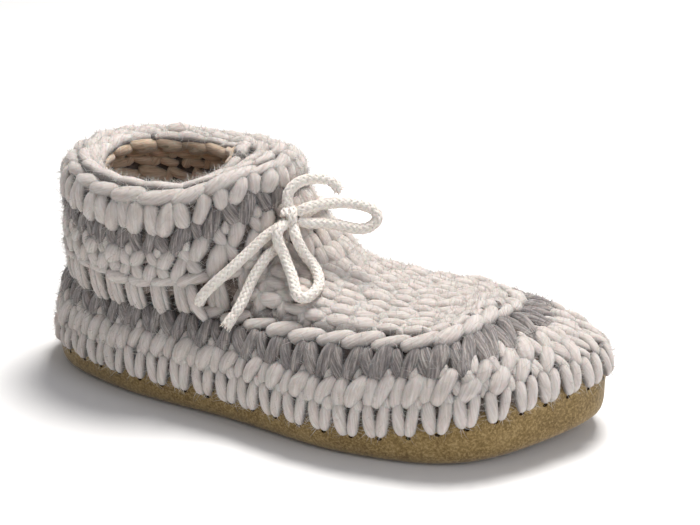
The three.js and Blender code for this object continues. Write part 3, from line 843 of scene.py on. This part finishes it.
def stitch_row(base, table, centres, pitch, side=1, vary=VARY, check=True, hollow=False, sink=SINK):
    """The same strand at each centre along a row.

    The table's rows are: place along the row in stitches, place across it, lift, half width, half height.
    Stitches off the face of the upper are left out, and with hollow also those inside the collar.
    """
    shape = even(smooth_curve(table, False, TABLE_STEPS), RINGS - 1)
    t = np.linspace(-1, 1, RINGS)
    cap = np.sqrt(np.maximum(1 - np.abs(t) ** CAP_POWER, 0))
    middle = RINGS // 2
    made = []
    for centre in centres:
        stretch = 1 + random.normal(0, vary)
        lean = random.normal(0, LEAN_SHARE * vary)
        fat = 1 + random.normal(0, vary)
        s = centre + pitch * (shape[:, 0] * stretch + lean)
        v = shape[:, 1] + random.normal(0, ACROSS_SHARE * vary)
        lift = shape[:, 2] - sink + random.normal(0, LIFT_SHARE * vary)
        points, facing = raised(base, s, v, lift, side)
        lumps = 1 + vary * np.sin(t * random.uniform(*LUMP_TURNS) + random.uniform(0, 2 * np.pi))
        if hollow and in_collar(points[middle]):
            continue
        if check and not on_upper(points[middle], facing[middle]):
            continue
        made.append(strand(points, facing, shape[:, 3] * fat * cap * lumps, shape[:, 4] * fat * cap * lumps))
    return made


def even_centres(count, phase=0.0):
    return (np.arange(count) + phase) / count


# Rows of stitches, bottom to top: place along in stitches, across, lift, half width, half height

EDGE_LEFT = [
    (-0.1, -0.05, -0.3, 1.4, 1.1), (-0.16, 0.14, 1.3, 2.5, 2.1), (-0.22, 0.45, 1.9, 2.9, 2.4),
    (-0.26, 0.78, 1.5, 2.7, 2.3), (-0.28, 1.1, 0, 1.9, 1.7),
]
EDGE_RIGHT = [
    (0.1, -0.05, -0.3, 1.4, 1.1), (0.16, 0.14, 1.3, 2.5, 2.1), (0.22, 0.45, 1.9, 2.85, 2.4),
    (0.27, 0.78, 1.5, 2.7, 2.3), (0.3, 1.1, 0, 1.9, 1.7),
]
CREAM_RIGHT = [
    (-0.02, -0.12, 0.2, 2.3, 1.9), (0.06, 0.2, 2.4, 3.4, 2.8), (0.2, 0.55, 2.8, 3.7, 3.0),
    (0.36, 0.85, 2.0, 3.3, 2.7), (0.44, 1.08, 0.3, 2.3, 1.9),
]
CREAM_LEFT = [
    (-0.4, -0.15, 0.1, 2.2, 1.9), (-0.37, 0.2, 2.0, 3.2, 2.7), (-0.31, 0.58, 2.3, 3.4, 2.8),
    (-0.22, 1.05, 0.4, 2.4, 2.0),
]
CREAM_KNOB = [
    (0.4, -0.22, 0.2, 1.8, 1.5), (0.34, 0.02, 2.4, 2.4, 2.0), (0.28, 0.26, 0.6, 1.8, 1.5),
]
CREAM_LOW_RIGHT = [
    (-0.2, -0.12, 0.2, 2.0, 1.7), (-0.08, 0.1, 2.3, 3.4, 2.8), (0.08, 0.3, 2.8, 3.7, 3.0),
    (0.24, 0.48, 1.9, 3.2, 2.6), (0.34, 0.62, 0.2, 2.2, 1.8),
]
CREAM_LOW_LEFT = [
    (-0.2, 0.02, 0.2, 1.8, 1.6), (-0.32, 0.2, 1.6, 2.9, 2.4), (-0.4, 0.4, 1.6, 3.0, 2.4),
    (-0.44, 0.6, 0.2, 2.0, 1.7),
]
CREAM_LOW_KNOB = [
    (0.42, -0.15, 0, 1.8, 1.5), (0.42, 0.06, 1.6, 2.6, 2.1), (0.42, 0.28, 1.2, 2.4, 2.0),
    (0.42, 0.45, 0, 1.6, 1.4),
]
CREAM_HIGH_RIGHT = [
    (0.24, 0.4, 0.3, 2.0, 1.8), (0.32, 0.58, 2.3, 3.4, 2.8), (0.44, 0.76, 2.6, 3.6, 2.9),
    (0.54, 0.94, 1.8, 3.2, 2.6), (0.6, 1.1, 0.2, 2.2, 1.8),
]
CREAM_HIGH_LEFT = [
    (0.06, 0.48, 0.3, 1.9, 1.6), (-0.02, 0.64, 1.9, 3.1, 2.6), (-0.08, 0.82, 1.9, 3.2, 2.6),
    (-0.12, 1.05, 0.2, 2.1, 1.8),
]
GREY_LEFT = [
    (-0.08, -0.15, 0, 2.0, 1.7), (-0.18, 0.2, 1.5, 3.0, 2.4), (-0.27, 0.58, 1.9, 3.3, 2.7),
    (-0.36, 1.12, 0.2, 2.5, 2.1),
]
GREY_RIGHT = [
    (0.04, -0.2, 0, 2.1, 1.8), (0.14, 0.2, 2.0, 3.2, 2.6), (0.28, 0.6, 2.3, 3.4, 2.8),
    (0.42, 1.15, 0.2, 2.5, 2.1),
]
WHITE_TIP = [
    (0.5, -0.18, 0.6, 2.3, 1.9), (0.5, 0.02, 2.0, 2.4, 2.0), (0.51, 0.22, 2.2, 1.8, 1.6),
    (0.52, 0.42, 1.4, 0.8, 0.8),
]
BRAID = [
    (-0.58, 0.45, -0.2, 1.8, 1.5), (-0.36, 0.25, 2.0, 3.2, 2.7), (-0.05, 0.36, 2.6, 3.4, 2.8),
    (0.3, 0.62, 2.1, 2.8, 2.4), (0.6, 0.85, 0, 1.5, 1.3),
]
VAMP_BAR = [
    (-0.52, 0.55, -0.4, 1.8, 1.5), (-0.27, 0.42, 1.6, 3.0, 2.4), (0.03, 0.42, 2.0, 3.2, 2.6),
    (0.3, 0.5, 1.5, 2.8, 2.3), (0.54, 0.62, -0.4, 1.6, 1.4),
]
VAMP_LEG = [
    (0.42, -0.4, -0.4, 1.8, 1.5), (0.46, 0.0, 1.1, 2.7, 2.2), (0.54, 0.4, 1.0, 2.6, 2.1),
    (0.6, 0.8, -0.4, 1.6, 1.4),
]
VAMP_FOOT = [
    (-0.5, 0.0, -0.8, 1.6, 1.4), (-0.2, -0.03, 0.9, 2.9, 2.3), (0.2, -0.03, 1.0, 2.9, 2.3),
    (0.5, 0.02, -0.8, 1.6, 1.4),
]
POST_LEFT = [
    (-0.1, 1.05, 0, 1.5, 1.3), (-0.18, 0.74, 1.7, 2.2, 1.9), (-0.2, 0.36, 1.9, 2.3, 2.0),
    (-0.17, -0.02, 0.6, 1.7, 1.5),
]
POST_MIDDLE = [
    (0.02, 1.06, 0.4, 1.5, 1.3), (0.0, 0.74, 2.4, 2.1, 1.9), (-0.01, 0.36, 2.6, 2.2, 2.0),
    (-0.01, -0.06, 1.0, 1.7, 1.5),
]
POST_RIGHT = [
    (0.12, 1.05, 0, 1.4, 1.2), (0.17, 0.74, 1.6, 2.1, 1.8), (0.18, 0.36, 1.8, 2.2, 1.9),
    (0.15, 0.0, 0.6, 1.6, 1.4),
]
EYELET_BAR = [
    (-0.1, 0.9, 0.4, 1.7, 1.5), (0.2, 0.97, 2.6, 2.8, 2.3), (0.55, 0.98, 2.4, 2.8, 2.3),
    (0.9, 0.92, 0.2, 1.7, 1.5),
]
KEEPER = [
    (-0.2, 0.95, 0, 1.5, 1.3), (-0.1, 0.66, 5.6, 2.3, 2.0), (0.02, 0.34, 7.6, 2.4, 2.1),
    (0.1, 0.05, 5.2, 2.3, 2.0), (0.16, -0.22, 0, 1.5, 1.3),
]
ANKLE_RIGHT = [
    (-0.02, -0.25, 0.2, 2.3, 1.9), (0.08, 0.12, 1.9, 3.1, 2.5), (0.2, 0.5, 2.3, 3.4, 2.7),
    (0.3, 0.88, 1.8, 3.1, 2.5), (0.36, 1.25, 0, 2.3, 1.9),
]
ANKLE_LEFT = [
    (-0.12, -0.25, 0.1, 2.2, 1.8), (-0.22, 0.12, 1.5, 2.9, 2.3), (-0.3, 0.5, 1.9, 3.2, 2.5),
    (-0.36, 0.88, 1.4, 2.9, 2.3), (-0.4, 1.25, 0, 2.1, 1.8),
]
RIM_LEFT = [
    (-0.14, 0.12, 0.8, 2.8, 2.4), (-0.2, 0.28, 2.5, 3.7, 3.1), (-0.26, 0.56, 2.6, 3.8, 3.1),
    (-0.3, 1.1, 0.6, 2.8, 2.4),
]
RIM_RIGHT = [
    (0.16, 0.06, 0.8, 2.8, 2.4), (0.22, 0.22, 2.8, 3.7, 3.1), (0.26, 0.52, 2.8, 3.8, 3.2),
    (0.3, 1.1, 0.6, 2.8, 2.4),
]
RIM_CHAIN = [
    (-0.62, 0.5, -0.2, 1.8, 1.5), (-0.38, 0.15, 1.7, 3.2, 2.7), (0.0, 0.25, 2.3, 3.6, 3.0),
    (0.36, 0.5, 1.7, 3.1, 2.6), (0.66, 0.85, -0.2, 1.8, 1.5),
]
RIM_STRAND = [
    (-0.64, 0.34, 0, 1.9, 1.6), (-0.34, 0.12, 1.4, 3.1, 2.6), (0.02, 0.1, 1.8, 3.4, 2.8),
    (0.36, 0.22, 1.3, 3.0, 2.5), (0.64, 0.37, 0, 1.8, 1.5),
]
MIDDLE_STRAND = [
    (-0.64, 0.6, -0.2, 1.8, 1.5), (-0.34, 0.44, 1.0, 3.1, 2.5), (0.02, 0.44, 1.3, 3.3, 2.7),
    (0.36, 0.52, 0.9, 3.0, 2.4), (0.64, 0.64, -0.2, 1.7, 1.4),
]
LIP_STRAND = [
    (-0.7, 0.95, 0, 1.9, 1.6), (-0.36, 0.82, 1.1, 2.7, 2.2), (0.04, 0.82, 1.3, 2.9, 2.4),
    (0.4, 0.88, 0.9, 2.6, 2.1), (0.7, 1.0, -0.2, 1.7, 1.5),
]
LINING_BAR = [
    (-0.5, 0.3, -0.4, 1.3, 1.1), (-0.22, 0.36, 1.2, 2.7, 2.0), (0.15, 0.52, 1.4, 2.8, 2.1),
    (0.5, 0.8, -0.4, 1.3, 1.1),
]
LINING_LEG = [
    (0.55, -0.1, -0.4, 1.3, 1.1), (0.45, 0.3, 0.9, 2.2, 1.7), (0.36, 0.7, 0.7, 2.1, 1.6),
    (0.3, 1.0, -0.4, 1.2, 1.0),
]

STITCH_PITCH = 11.8
VAMP_STITCH_ROWS = 7
VAMP_PITCH = 10.5
WIDE_TOE_X = 84
BRAID_START_X = -30
WIDE_VAMP_X = 45
POST_END_X = -10
LINING_PITCH = 12
PLACES_ALONG = 721

# Rows of the ankle: the lines that each lies between, and its first stitch as a share of the pitch
THROAT_ROWS = [(1.0, 1.35, 0.1), (1.35, 1.7, 0.6), (1.7, 2.1, 0.1)]
ANKLE_ROWS = [(2.1, 3.1, 0.3), (3.1, 4, 0.75)]
LINING_ROWS = [
    (6.9, 7.8, 0.1), (6.2, 6.9, 0.6), (5.6, 6.2, 0.2), (5.0, 5.6, 0.7), (4.2, 5.0, 0.3),
    (3.2, 4.2, 0.8), (2.4, 3.2, 0.2), (1.9, 2.4, 0.7), (1.4, 1.9, 0.1),
]


def full_row(patch, tables, phase, pitch=STITCH_PITCH, from_x=-math.inf, to_x=math.inf, **how):
    """Stitches all round a row or between two places, as near to the pitch as a whole number allows."""
    count = round(patch.length / pitch)
    centres = even_centres(count, phase)
    x = middle_of(patch, centres)[:, 0]
    centres = centres[(x >= from_x) & (x < to_x)]
    made = []
    for table in tables:
        made += stitch_row(patch, table, centres, 1 / count, **how)
    return made


def place_along(patch, point):
    """Where along the middle of a row a point lies."""
    s = np.linspace(-0.5, 0.5, PLACES_ALONG)
    reach = np.linalg.norm(middle_of(patch, s) - point, axis=1)
    return s[np.argmin(reach)]


edge_centres = even_centres(EDGE_STITCHES)
edge_patch = body_patch("holes", "edge")
edge_strands = []
for table in (EDGE_LEFT, EDGE_RIGHT):
    edge_strands += stitch_row(
        edge_patch, table, edge_centres, 1 / EDGE_STITCHES, vary=EDGE_VARY, check=False, sink=EDGE_SINK,
    )

cream_patch = even_patch(body_patch("edge", "cream"))
grey_patch = even_patch(body_patch("cream", "grey"))
braid_patch = even_patch(body_patch("grey", "braid"))
edge_strands += full_row(
    cream_patch, (CREAM_LEFT, CREAM_RIGHT, CREAM_KNOB), phase=0.3, to_x=WIDE_TOE_X, check=False,
)
edge_strands += full_row(
    cream_patch, (CREAM_LOW_LEFT, CREAM_LOW_RIGHT, CREAM_LOW_KNOB, CREAM_HIGH_LEFT, CREAM_HIGH_RIGHT),
    phase=0.3, from_x=WIDE_TOE_X, check=False,
)
grey_strands = full_row(grey_patch, (GREY_LEFT, GREY_RIGHT), phase=0.65)
vamp_strands = full_row(grey_patch, (WHITE_TIP,), phase=0.65)
vamp_strands += full_row(braid_patch, (BRAID,), phase=0.2, from_x=BRAID_START_X, hollow=True)
vamp_rows = []
for row in range(VAMP_STITCH_ROWS):
    first = VAMP_CLOSE * row / VAMP_STITCH_ROWS
    patch = even_patch(vamp_patch(first, first + VAMP_CLOSE / VAMP_STITCH_ROWS))
    vamp_strands += full_row(patch, (VAMP_BAR, VAMP_LEG), 0.5 * (row % 2), VAMP_PITCH, hollow=True)
    vamp_rows.append(patch)

ridge_count = round((RIDGE_TOE - RIDGE_THROAT) / VAMP_PITCH)
vamp_strands += stitch_row(ridge_patch, VAMP_BAR, even_centres(ridge_count, 0.5), 1 / ridge_count)

# Ankle: clusters of posts between the eyelets, then rows of stitches, a grey row and the rim.
# The gap between two clusters is an eyelet, and each end of the drawstring goes into one.
post_patch = ankle_patch(1, 2)
post_pitch = EYELET_PITCH / post_patch.length
post_reach = int(post_patch.length / 2 / EYELET_PITCH)
eyelets = [place_along(post_patch, CORDS[cord][-1]) for cord in ("drawstring_outer", "drawstring_inner")]
post_centres = [0.0]
for eyelet in eyelets:
    steps = round(abs(eyelet) * post_patch.length / EYELET_PITCH - 0.5)
    post_centres += [k * eyelet / (steps + 0.5) for k in range(1, post_reach + 1)]
post_centres = np.array(post_centres)
post_centres = post_centres[middle_of(post_patch, post_centres)[:, 0] < POST_END_X]
ankle_strands = []
for table in (POST_LEFT, POST_MIDDLE, POST_RIGHT, EYELET_BAR):
    ankle_strands += stitch_row(post_patch, table, post_centres, post_pitch, check=False)
for rows, start_x in ((THROAT_ROWS, POST_END_X), (ANKLE_ROWS, -math.inf)):
    for first, last, phase in rows:
        ankle_strands += full_row(ankle_patch(first, last), (ANKLE_LEFT, ANKLE_RIGHT), phase, from_x=start_x)
collar_patch = ankle_patch(4, 5)
grey_strands += full_row(collar_patch, (GREY_LEFT, GREY_RIGHT), phase=0.2)
ankle_strands += full_row(collar_patch, (WHITE_TIP,), phase=0.2)
rim_strands = full_row(ankle_patch(5, 6), (RIM_LEFT, RIM_RIGHT), phase=0.6)
rim_strands += full_row(ankle_patch(6, 7), (RIM_CHAIN,), phase=0.1, check=False)
rim_strands += full_row(ankle_patch(7, 8), (RIM_STRAND, LIP_STRAND), phase=0.4, check=False)
rim_strands += full_row(ankle_patch(7, 8), (MIDDLE_STRAND,), phase=0.9, check=False)

lining_how = dict(pitch=LINING_PITCH, side=-1, vary=LINING_VARY, check=False)
lining_strands = full_row(ankle_patch(8, 8, 1, 0), (LINING_BAR,), phase=0.5, **lining_how)
for first, last, phase in LINING_ROWS:
    lining_strands += full_row(ankle_patch(first, last, 1), (LINING_BAR, LINING_LEG), phase, **lining_how)

# Near the throat the rows of the vamp are wide, and short strands lie between them
for row, patch in enumerate(vamp_rows):
    vamp_strands += full_row(
        patch, (VAMP_FOOT,), 0.5 * (row % 2) + 0.5, VAMP_PITCH,
        from_x=BRAID_START_X, to_x=WIDE_VAMP_X, hollow=True, check=row > 0,
    )

# A post runs over each end of the drawstring, where the cord goes in behind it
KEEPER_BACK = 0.2
keepers = [eyelet - np.sign(eyelet) * KEEPER_BACK / post_patch.length for eyelet in eyelets]
ankle_strands += stitch_row(post_patch, KEEPER, keepers, post_pitch, check=False)


def yarn_piece(name, strands, material):
    piece = apply_tree(name, line_mesh(name, strands), STRANDS, Sides=SIDES, Material=material)
    return attach(piece, "wool", "upper")


edge_stitches = yarn_piece("edge_stitches", edge_strands, cream_wool)
grey_stitches = yarn_piece("grey_stitches", grey_strands, grey_wool)
vamp_stitches = yarn_piece("vamp_stitches", vamp_strands, vamp_wool)
ankle_stitches = yarn_piece("ankle_stitches", ankle_strands, cream_wool)
rim_stitches = yarn_piece("rim_stitches", rim_strands, cream_wool)
yarn_piece("lining_stitches", lining_strands, inside_wool_painted_shade)


# Backing: the wall of the upper, drawn in a little so that the stitches stand on it; its dark colour is
# painted shade, seen in the gaps
BACKING_INSET = 1.5
WELD_DISTANCE = 1e-6


def backing():
    shell = bmesh.new()
    shell.from_mesh(upper_object.data)
    bmesh.ops.remove_doubles(shell, verts=shell.verts, dist=WELD_DISTANCE)
    shell.normal_update()
    for vertex, normal in [(vertex, vertex.normal.copy()) for vertex in shell.verts]:
        vertex.co -= normal * BACKING_INSET * MM
    mesh = bpy.data.meshes.new("wool_backing")
    shell.to_mesh(mesh)
    shell.free()
    mesh.materials.clear()
    mesh.materials.append(gap_shade_wool)
    return new_object("wool_backing", mesh)


attach(backing(), "wool", "upper")


# Suede pan

PAN_COLUMNS = 8 * EDGE_STITCHES
BOTTOM_PARTS = [0.9, 0.6, 0.25]
WALL_PARTS = [0.35, 0.7, 1]
PUCKER = 0.45
PUCKER_HEIGHT = 9
PUCKER_FROM = 2


def loft(name, loops, material):
    """Closed mesh from loops of the same number of points, capped across the foot at both ends."""
    count = len(loops[0])
    half = count // 2
    faces = []
    for row in range(len(loops) - 1):
        low = row * count
        high = low + count
        for i in range(count):
            j = (i + 1) % count
            faces.append((low + i, low + j, high + j, high + i))
    for start, up in ((0, False), ((len(loops) - 1) * count, True)):
        for i in range(half):
            ring = [i, i + 1, (count - i - 1) % count, (count - i) % count]
            ring = [start + k for n, k in enumerate(ring) if k not in ring[:n]]
            faces.append(tuple(ring if up else ring[::-1]))
    mesh = new_mesh(name, np.vstack(loops), [], faces)
    mesh.materials.append(material)
    mesh.shade_smooth()
    return new_object(name, mesh)


def suede_pan():
    s = np.arange(PAN_COLUMNS) / PAN_COLUMNS
    x, y = outline_at(s)
    ridge_x, ridge_y, _ = ridge_at(x)
    holes = line_height(x, y, LINES["holes"])
    wave = -np.cos(2 * np.pi * EDGE_STITCHES * s)

    def pucker(z):
        near = np.clip(1 - np.abs(z - holes) / PUCKER_HEIGHT, 0, 1)
        return PUCKER * wave * near**2

    loops = []
    first = offset_points(s, -PAN_SECTION[0][0], spring(x))
    for part in BOTTOM_PARTS:
        across = [mix(ridge_x, first[:, 0], 1 - part), mix(ridge_y, first[:, 1], 1 - part), first[:, 2]]
        loops.append(np.stack(across, axis=1))
    for inset, rise in PAN_SECTION:
        z = rise + spring(x)
        loops.append(offset_points(s, -inset + pucker(z) * (rise > PUCKER_FROM), z))
    top = holes + SUEDE_ABOVE_HOLES
    side = PAN_SECTION[-1][1] + spring(x)
    for part in WALL_PARTS:
        z = mix(side, top, part)
        loops.append(offset_points(s, pucker(z), z))
    loops.append(offset_points(s, -PAN_WALL, top))
    loops.append(offset_points(s, -PAN_WALL, PAN_FLOOR + spring(x)))
    return loft("suede_pan", loops, suede)


attach(suede_pan(), "suede", "sole")

# Punched holes that the edge stitches go through
HOLE_HALF = (1.5, 0.9, 0.35)
HOLE_DROP = 2.9
HOLE_PROUD = 0.05


def hole_tree():
    """A dark lens of painted shade at each point, lying in the face of the pan."""
    tree, given = new_tree("holes", {"Material": "NodeSocketMaterial"})
    lens = add(tree, "GeometryNodeMeshUVSphere", {"Segments": 12, "Rings": 6, "Radius": 1.0})
    rotation = add(tree, "FunctionNodeAxesToRotation", {
        "Primary Axis": named(tree, "facing"), "Secondary Axis": (0, 0, 1),
    }, primary_axis="Z", secondary_axis="Y")
    holes = add(tree, "GeometryNodeInstanceOnPoints", {
        "Points": given["Geometry"], "Instance": lens.outputs["Mesh"], "Rotation": rotation.outputs[0],
        "Scale": tuple(size * MM for size in HOLE_HALF),
    })
    return finish_tree(tree, holes.outputs[0], given["Material"])


def punched_holes():
    x, y = outline_at(edge_centres)
    z = line_height(x, y, LINES["holes"]) - HOLE_DROP
    points = offset_points(edge_centres, HOLE_PROUD - PUCKER, z)
    out_x, out_y = outward(x, y)
    facing = np.stack([out_x, out_y, np.zeros(len(x))], axis=1)
    mesh = new_mesh("punched_holes", points, [], [], facing=facing)
    return apply_tree("punched_holes", mesh, hole_tree(), Material=punched_hole_shade)


attach(punched_holes(), "suede", "sole")

# Insole
insole = frame["nodes"]["insole"]
insole.data.materials.clear()
insole.data.materials.append(insole_leather)


# Cords

PLAITS = 6
PLAIT_LAY = 15
PLAIT_RADIUS = 1.85
PLAIT_WEAVE = 0.22
PLAIT_HALF_WIDTH = 0.8
PLAIT_HALF_HEIGHT = 0.38
PLAIT_SIDES = 6
CORE_RADIUS = 1.75
CORD_STEP = 0.9
ROUTE_STEPS = 12
STEEP = 0.1


def along_path(points):
    """Frames carried along a path without twist: tangent, side and up at each point."""
    tangent = unit(np.gradient(points, axis=0))
    side = np.zeros(points.shape)
    first = np.cross(tangent[0], (0, 0, 1))
    side[0] = unit(first if np.linalg.norm(first) > STEEP else np.cross(tangent[0], (1, 0, 0)))
    for i in range(1, len(points)):
        side[i] = unit(side[i - 1] - tangent[i] * np.dot(side[i - 1], tangent[i]))
    return tangent, side, np.cross(tangent, side)


def plaited(path, girth=None):
    """Plaits of a round braided cord along a path, over and under in turn, on a plain core."""
    _, side, up = along_path(path)
    length = lengths_along(path)
    girth = np.ones(len(path)) if girth is None else girth
    made = [strand(path, up, CORE_RADIUS * girth, CORE_RADIUS * girth)]
    for turn in (1, -1):
        for plait in range(PLAITS):
            angle = turn * 2 * np.pi * length / PLAIT_LAY + 2 * np.pi * plait / PLAITS
            radius = (PLAIT_RADIUS + turn * PLAIT_WEAVE * np.cos(PLAITS * angle)) * girth
            facing = side * np.cos(angle)[:, None] + up * np.sin(angle)[:, None]
            made.append(strand(path + facing * radius[:, None], facing,
                               PLAIT_HALF_WIDTH * girth, PLAIT_HALF_HEIGHT * girth))
    return made


def cord_path(route):
    fine = smooth_curve(route, False, ROUTE_STEPS)
    return even(fine, round(lengths_along(fine)[-1] / CORD_STEP))


def run_into(end, target, depth):
    """A point past the end of a route, towards a target."""
    return tuple(np.array(end) + unit(np.array(target, float) - np.array(end)) * depth)


# Past the ends of the solids the cord runs on into the knot and into the eyelets
KNOT_DEPTH = 2.5
BOW_END_START = (0.2, -23.6, 76.4)
EYELET_RUNS = {
    "drawstring_outer": [(-31.6, -36, 49.4), (-33.6, -32.6, 49.4)],
    "drawstring_inner": [(-31.6, 33.4, 53.8), (-33.4, 30.2, 53.6)],
}
routes = {name: list(route) for name, route in CORDS.items()}
for name in ("drawstring_outer", "drawstring_inner", "bow_loop_outer", "bow_loop_down", "bow_end_up"):
    routes[name].insert(0, run_into(routes[name][0], KNOT, KNOT_DEPTH))
for name in ("bow_loop_outer", "bow_loop_down"):
    routes[name].append(run_into(routes[name][-1], KNOT, KNOT_DEPTH))
routes["bow_end_down"].insert(0, BOW_END_START)
for name, run in EYELET_RUNS.items():
    routes[name] += run

WHIPPING_AT = 5.5
WHIPPING_LENGTH = 0.9
WHIPPING_PINCH = 0.2
FRAY_COUNT = 22
FRAY_POINTS = 5
FRAY_LENGTH = 3.2
FRAY_SHORTEST = 0.4
FRAY_SET_BACK = 0.4
FRAY_RADIUS = 2.0
FRAY_SPREAD = 0.9
FRAY_HALF_WIDTH = 0.26
FRAY_TAPER = 0.5


def end_girth(path):
    """The cord is drawn in where its end is bound, a little before the tip."""
    length = lengths_along(path)
    left = length[-1] - length
    return 1 - WHIPPING_PINCH * np.exp(-((left - WHIPPING_AT) / WHIPPING_LENGTH) ** 2)


def frayed(path):
    """Short loose threads at a cut end."""
    tangent, side, up = along_path(path)
    t = np.linspace(0, 1, FRAY_POINTS)[:, None]
    width = FRAY_HALF_WIDTH * (1 - FRAY_TAPER * t[:, 0])
    made = []
    for _ in range(FRAY_COUNT):
        angle = random.uniform(0, 2 * np.pi)
        radius = FRAY_RADIUS * math.sqrt(random.uniform(0, 1))
        reach = FRAY_LENGTH * random.uniform(FRAY_SHORTEST, 1)
        out = side[-1] * math.cos(angle) + up[-1] * math.sin(angle)
        points = path[-1] + out * radius + tangent[-1] * reach * (t - FRAY_SET_BACK)
        points = points + out * FRAY_SPREAD * t**2 * random.uniform(0, 1)
        made.append(strand(points, np.repeat(out[None], FRAY_POINTS, axis=0), width, width))
    return made


def cord_piece(name, strands):
    piece = apply_tree(name + "_cord", line_mesh(name, strands), STRANDS, Sides=PLAIT_SIDES, Material=cotton)
    return attach(piece, "cord", name)


KNOT_AXIS = unit(np.array([0.92, 0.38, 0.1]))
KNOT_COIL_RADIUS = 2.7
KNOT_COIL_RISE = 4.2
KNOT_TURNS = 1.6
KNOT_START = 0.6
KNOT_POINTS = 40


def knot_path():
    """A short coil of the cord."""
    across = unit(np.cross(KNOT_AXIS, (0, 0, 1)))
    up = np.cross(across, KNOT_AXIS)
    t = np.linspace(0, 1, KNOT_POINTS)[:, None]
    angle = 2 * np.pi * KNOT_TURNS * t + KNOT_START
    coil = (across * np.cos(angle) + up * np.sin(angle)) * KNOT_COIL_RADIUS
    return np.array(KNOT) + KNOT_AXIS * KNOT_COIL_RISE * (t - 0.5) + coil


knot_cord = cord_piece("bow_knot", plaited(knot_path()))
cord_ends = {
    "drawstring_outer": ("knot", "taut"),
    "drawstring_inner": ("knot", "taut"),
    "bow_loop_outer": ("object", "loose"),
    "bow_loop_down": ("object", "hanging"),
    "bow_end_up": ("bare", "loose"),
    "bow_end_down": ("bare", "hanging"),
}
for name, (far_end, lay) in cord_ends.items():
    path = cord_path(routes[name])
    if far_end == "bare":
        piece = cord_piece(name, plaited(path, end_girth(path)) + frayed(path))
    else:
        piece = cord_piece(name, plaited(path))
    if name.startswith("drawstring"):
        path = path[::-1]


# Fuzz

FUZZ_PER_SQUARE_METRE = 520000
FUZZ_LENGTH = 3.6
FUZZ_THICKNESS = 0.15


def fuzz_piece(name, sources, material, seed):
    joined = bmesh.new()
    for source in sources:
        joined.from_mesh(source.data)
    mesh = bpy.data.meshes.new(name)
    joined.to_mesh(mesh)
    joined.free()
    piece = apply_tree(
        name, mesh, FUZZ, Density=float(FUZZ_PER_SQUARE_METRE), Length=FUZZ_LENGTH * MM,
        Thickness=FUZZ_THICKNESS * MM, Seed=seed, Material=material,
    )
    return attach(piece, "wool", "upper")


fuzz_piece("body_fuzz", [edge_stitches, vamp_stitches], cream_fibres, SEED)
fuzz_piece("ankle_fuzz", [ankle_stitches, rim_stitches], cream_fibres, SEED + 2)
fuzz_piece("grey_fuzz", [grey_stitches], grey_fibres, SEED + 1)


# Floor, light and camera

IMAGE_WIDTH = 700
SENSOR_MM = 36
CAMERA_AZIMUTH = math.radians(22.65)
CAMERA_ELEVATION = math.radians(21.52)
CAMERA_DISTANCE = 699.88
CAMERA_TARGET = (0, 0, 40)
CAMERA_SLIDE = (18.2, 16.05)
FOCAL_PIXELS = 1640.26
CLIP_START = 0.01
FLOOR_HALF = 4.0
WORLD_STRENGTH = 0.26


def camera():
    sin_a, cos_a = math.sin(CAMERA_AZIMUTH), math.cos(CAMERA_AZIMUTH)
    sin_e, cos_e = math.sin(CAMERA_ELEVATION), math.cos(CAMERA_ELEVATION)
    back = np.array([sin_a * cos_e, -cos_a * cos_e, sin_e])
    right = np.array([cos_a, sin_a, 0])
    up = np.cross(back, right)
    place = np.array(CAMERA_TARGET) + back * CAMERA_DISTANCE + right * CAMERA_SLIDE[0] + up * CAMERA_SLIDE[1]
    data = bpy.data.cameras.new("camera")
    data.sensor_width = SENSOR_MM
    data.lens = FOCAL_PIXELS * SENSOR_MM / IMAGE_WIDTH
    data.clip_start = CLIP_START
    eye = bpy.data.objects.new("camera", data)
    turn = Matrix((right, up, back)).transposed().to_4x4()
    eye.matrix_world = Matrix.Translation(to_frame(place)) @ turn
    bpy.context.scene.collection.objects.link(eye)
    bpy.context.scene.camera = eye


def area_light(name, place, aim, size, watts, colour):
    data = bpy.data.lights.new(name, "AREA")
    data.shape = "DISK"
    data.size = size
    data.energy = watts
    data.color = srgb(colour)[:3]
    light = bpy.data.objects.new(name, data)
    light.location = place
    light.rotation_euler = (Vector(aim) - Vector(place)).to_track_quat("-Z", "Y").to_euler()
    bpy.context.scene.collection.objects.link(light)


def floor():
    # Matt white studio paper
    paper = plain_material(
        "matt_studio_paper", [(0.3, "#fafafa"), (0.7, "#fcfcfb")], size=1 / 3,
        Roughness=0.9, Specular_IOR_Level=0.1,
    )
    mesh = bpy.data.meshes.new("floor")
    corners = [(x * FLOOR_HALF, y * FLOOR_HALF, 0) for x, y in ((-1, -1), (1, -1), (1, 1), (-1, 1))]
    mesh.from_pydata(corners, [], [(0, 1, 2, 3)])
    mesh.materials.append(paper)
    new_object("floor", mesh)


def world():
    surroundings = bpy.data.worlds.new("studio")
    surroundings.use_nodes = True
    background = surroundings.node_tree.nodes["Background"]
    background.inputs["Color"].default_value = srgb("#fbfbff")
    background.inputs["Strength"].default_value = WORLD_STRENGTH
    bpy.context.scene.world = surroundings


camera()
floor()
world()
area_light("key", place=(0.12, 0.4, 1.35), aim=(0.02, 0, 0.03), size=0.55, watts=24.5, colour="#fffcf9")
area_light("fill", place=(0.75, -0.42, 0.55), aim=(0.05, 0, 0.05), size=0.6, watts=1.9, colour="#f6f7ff")
bpy.context.scene.view_settings.view_transform = "Standard"
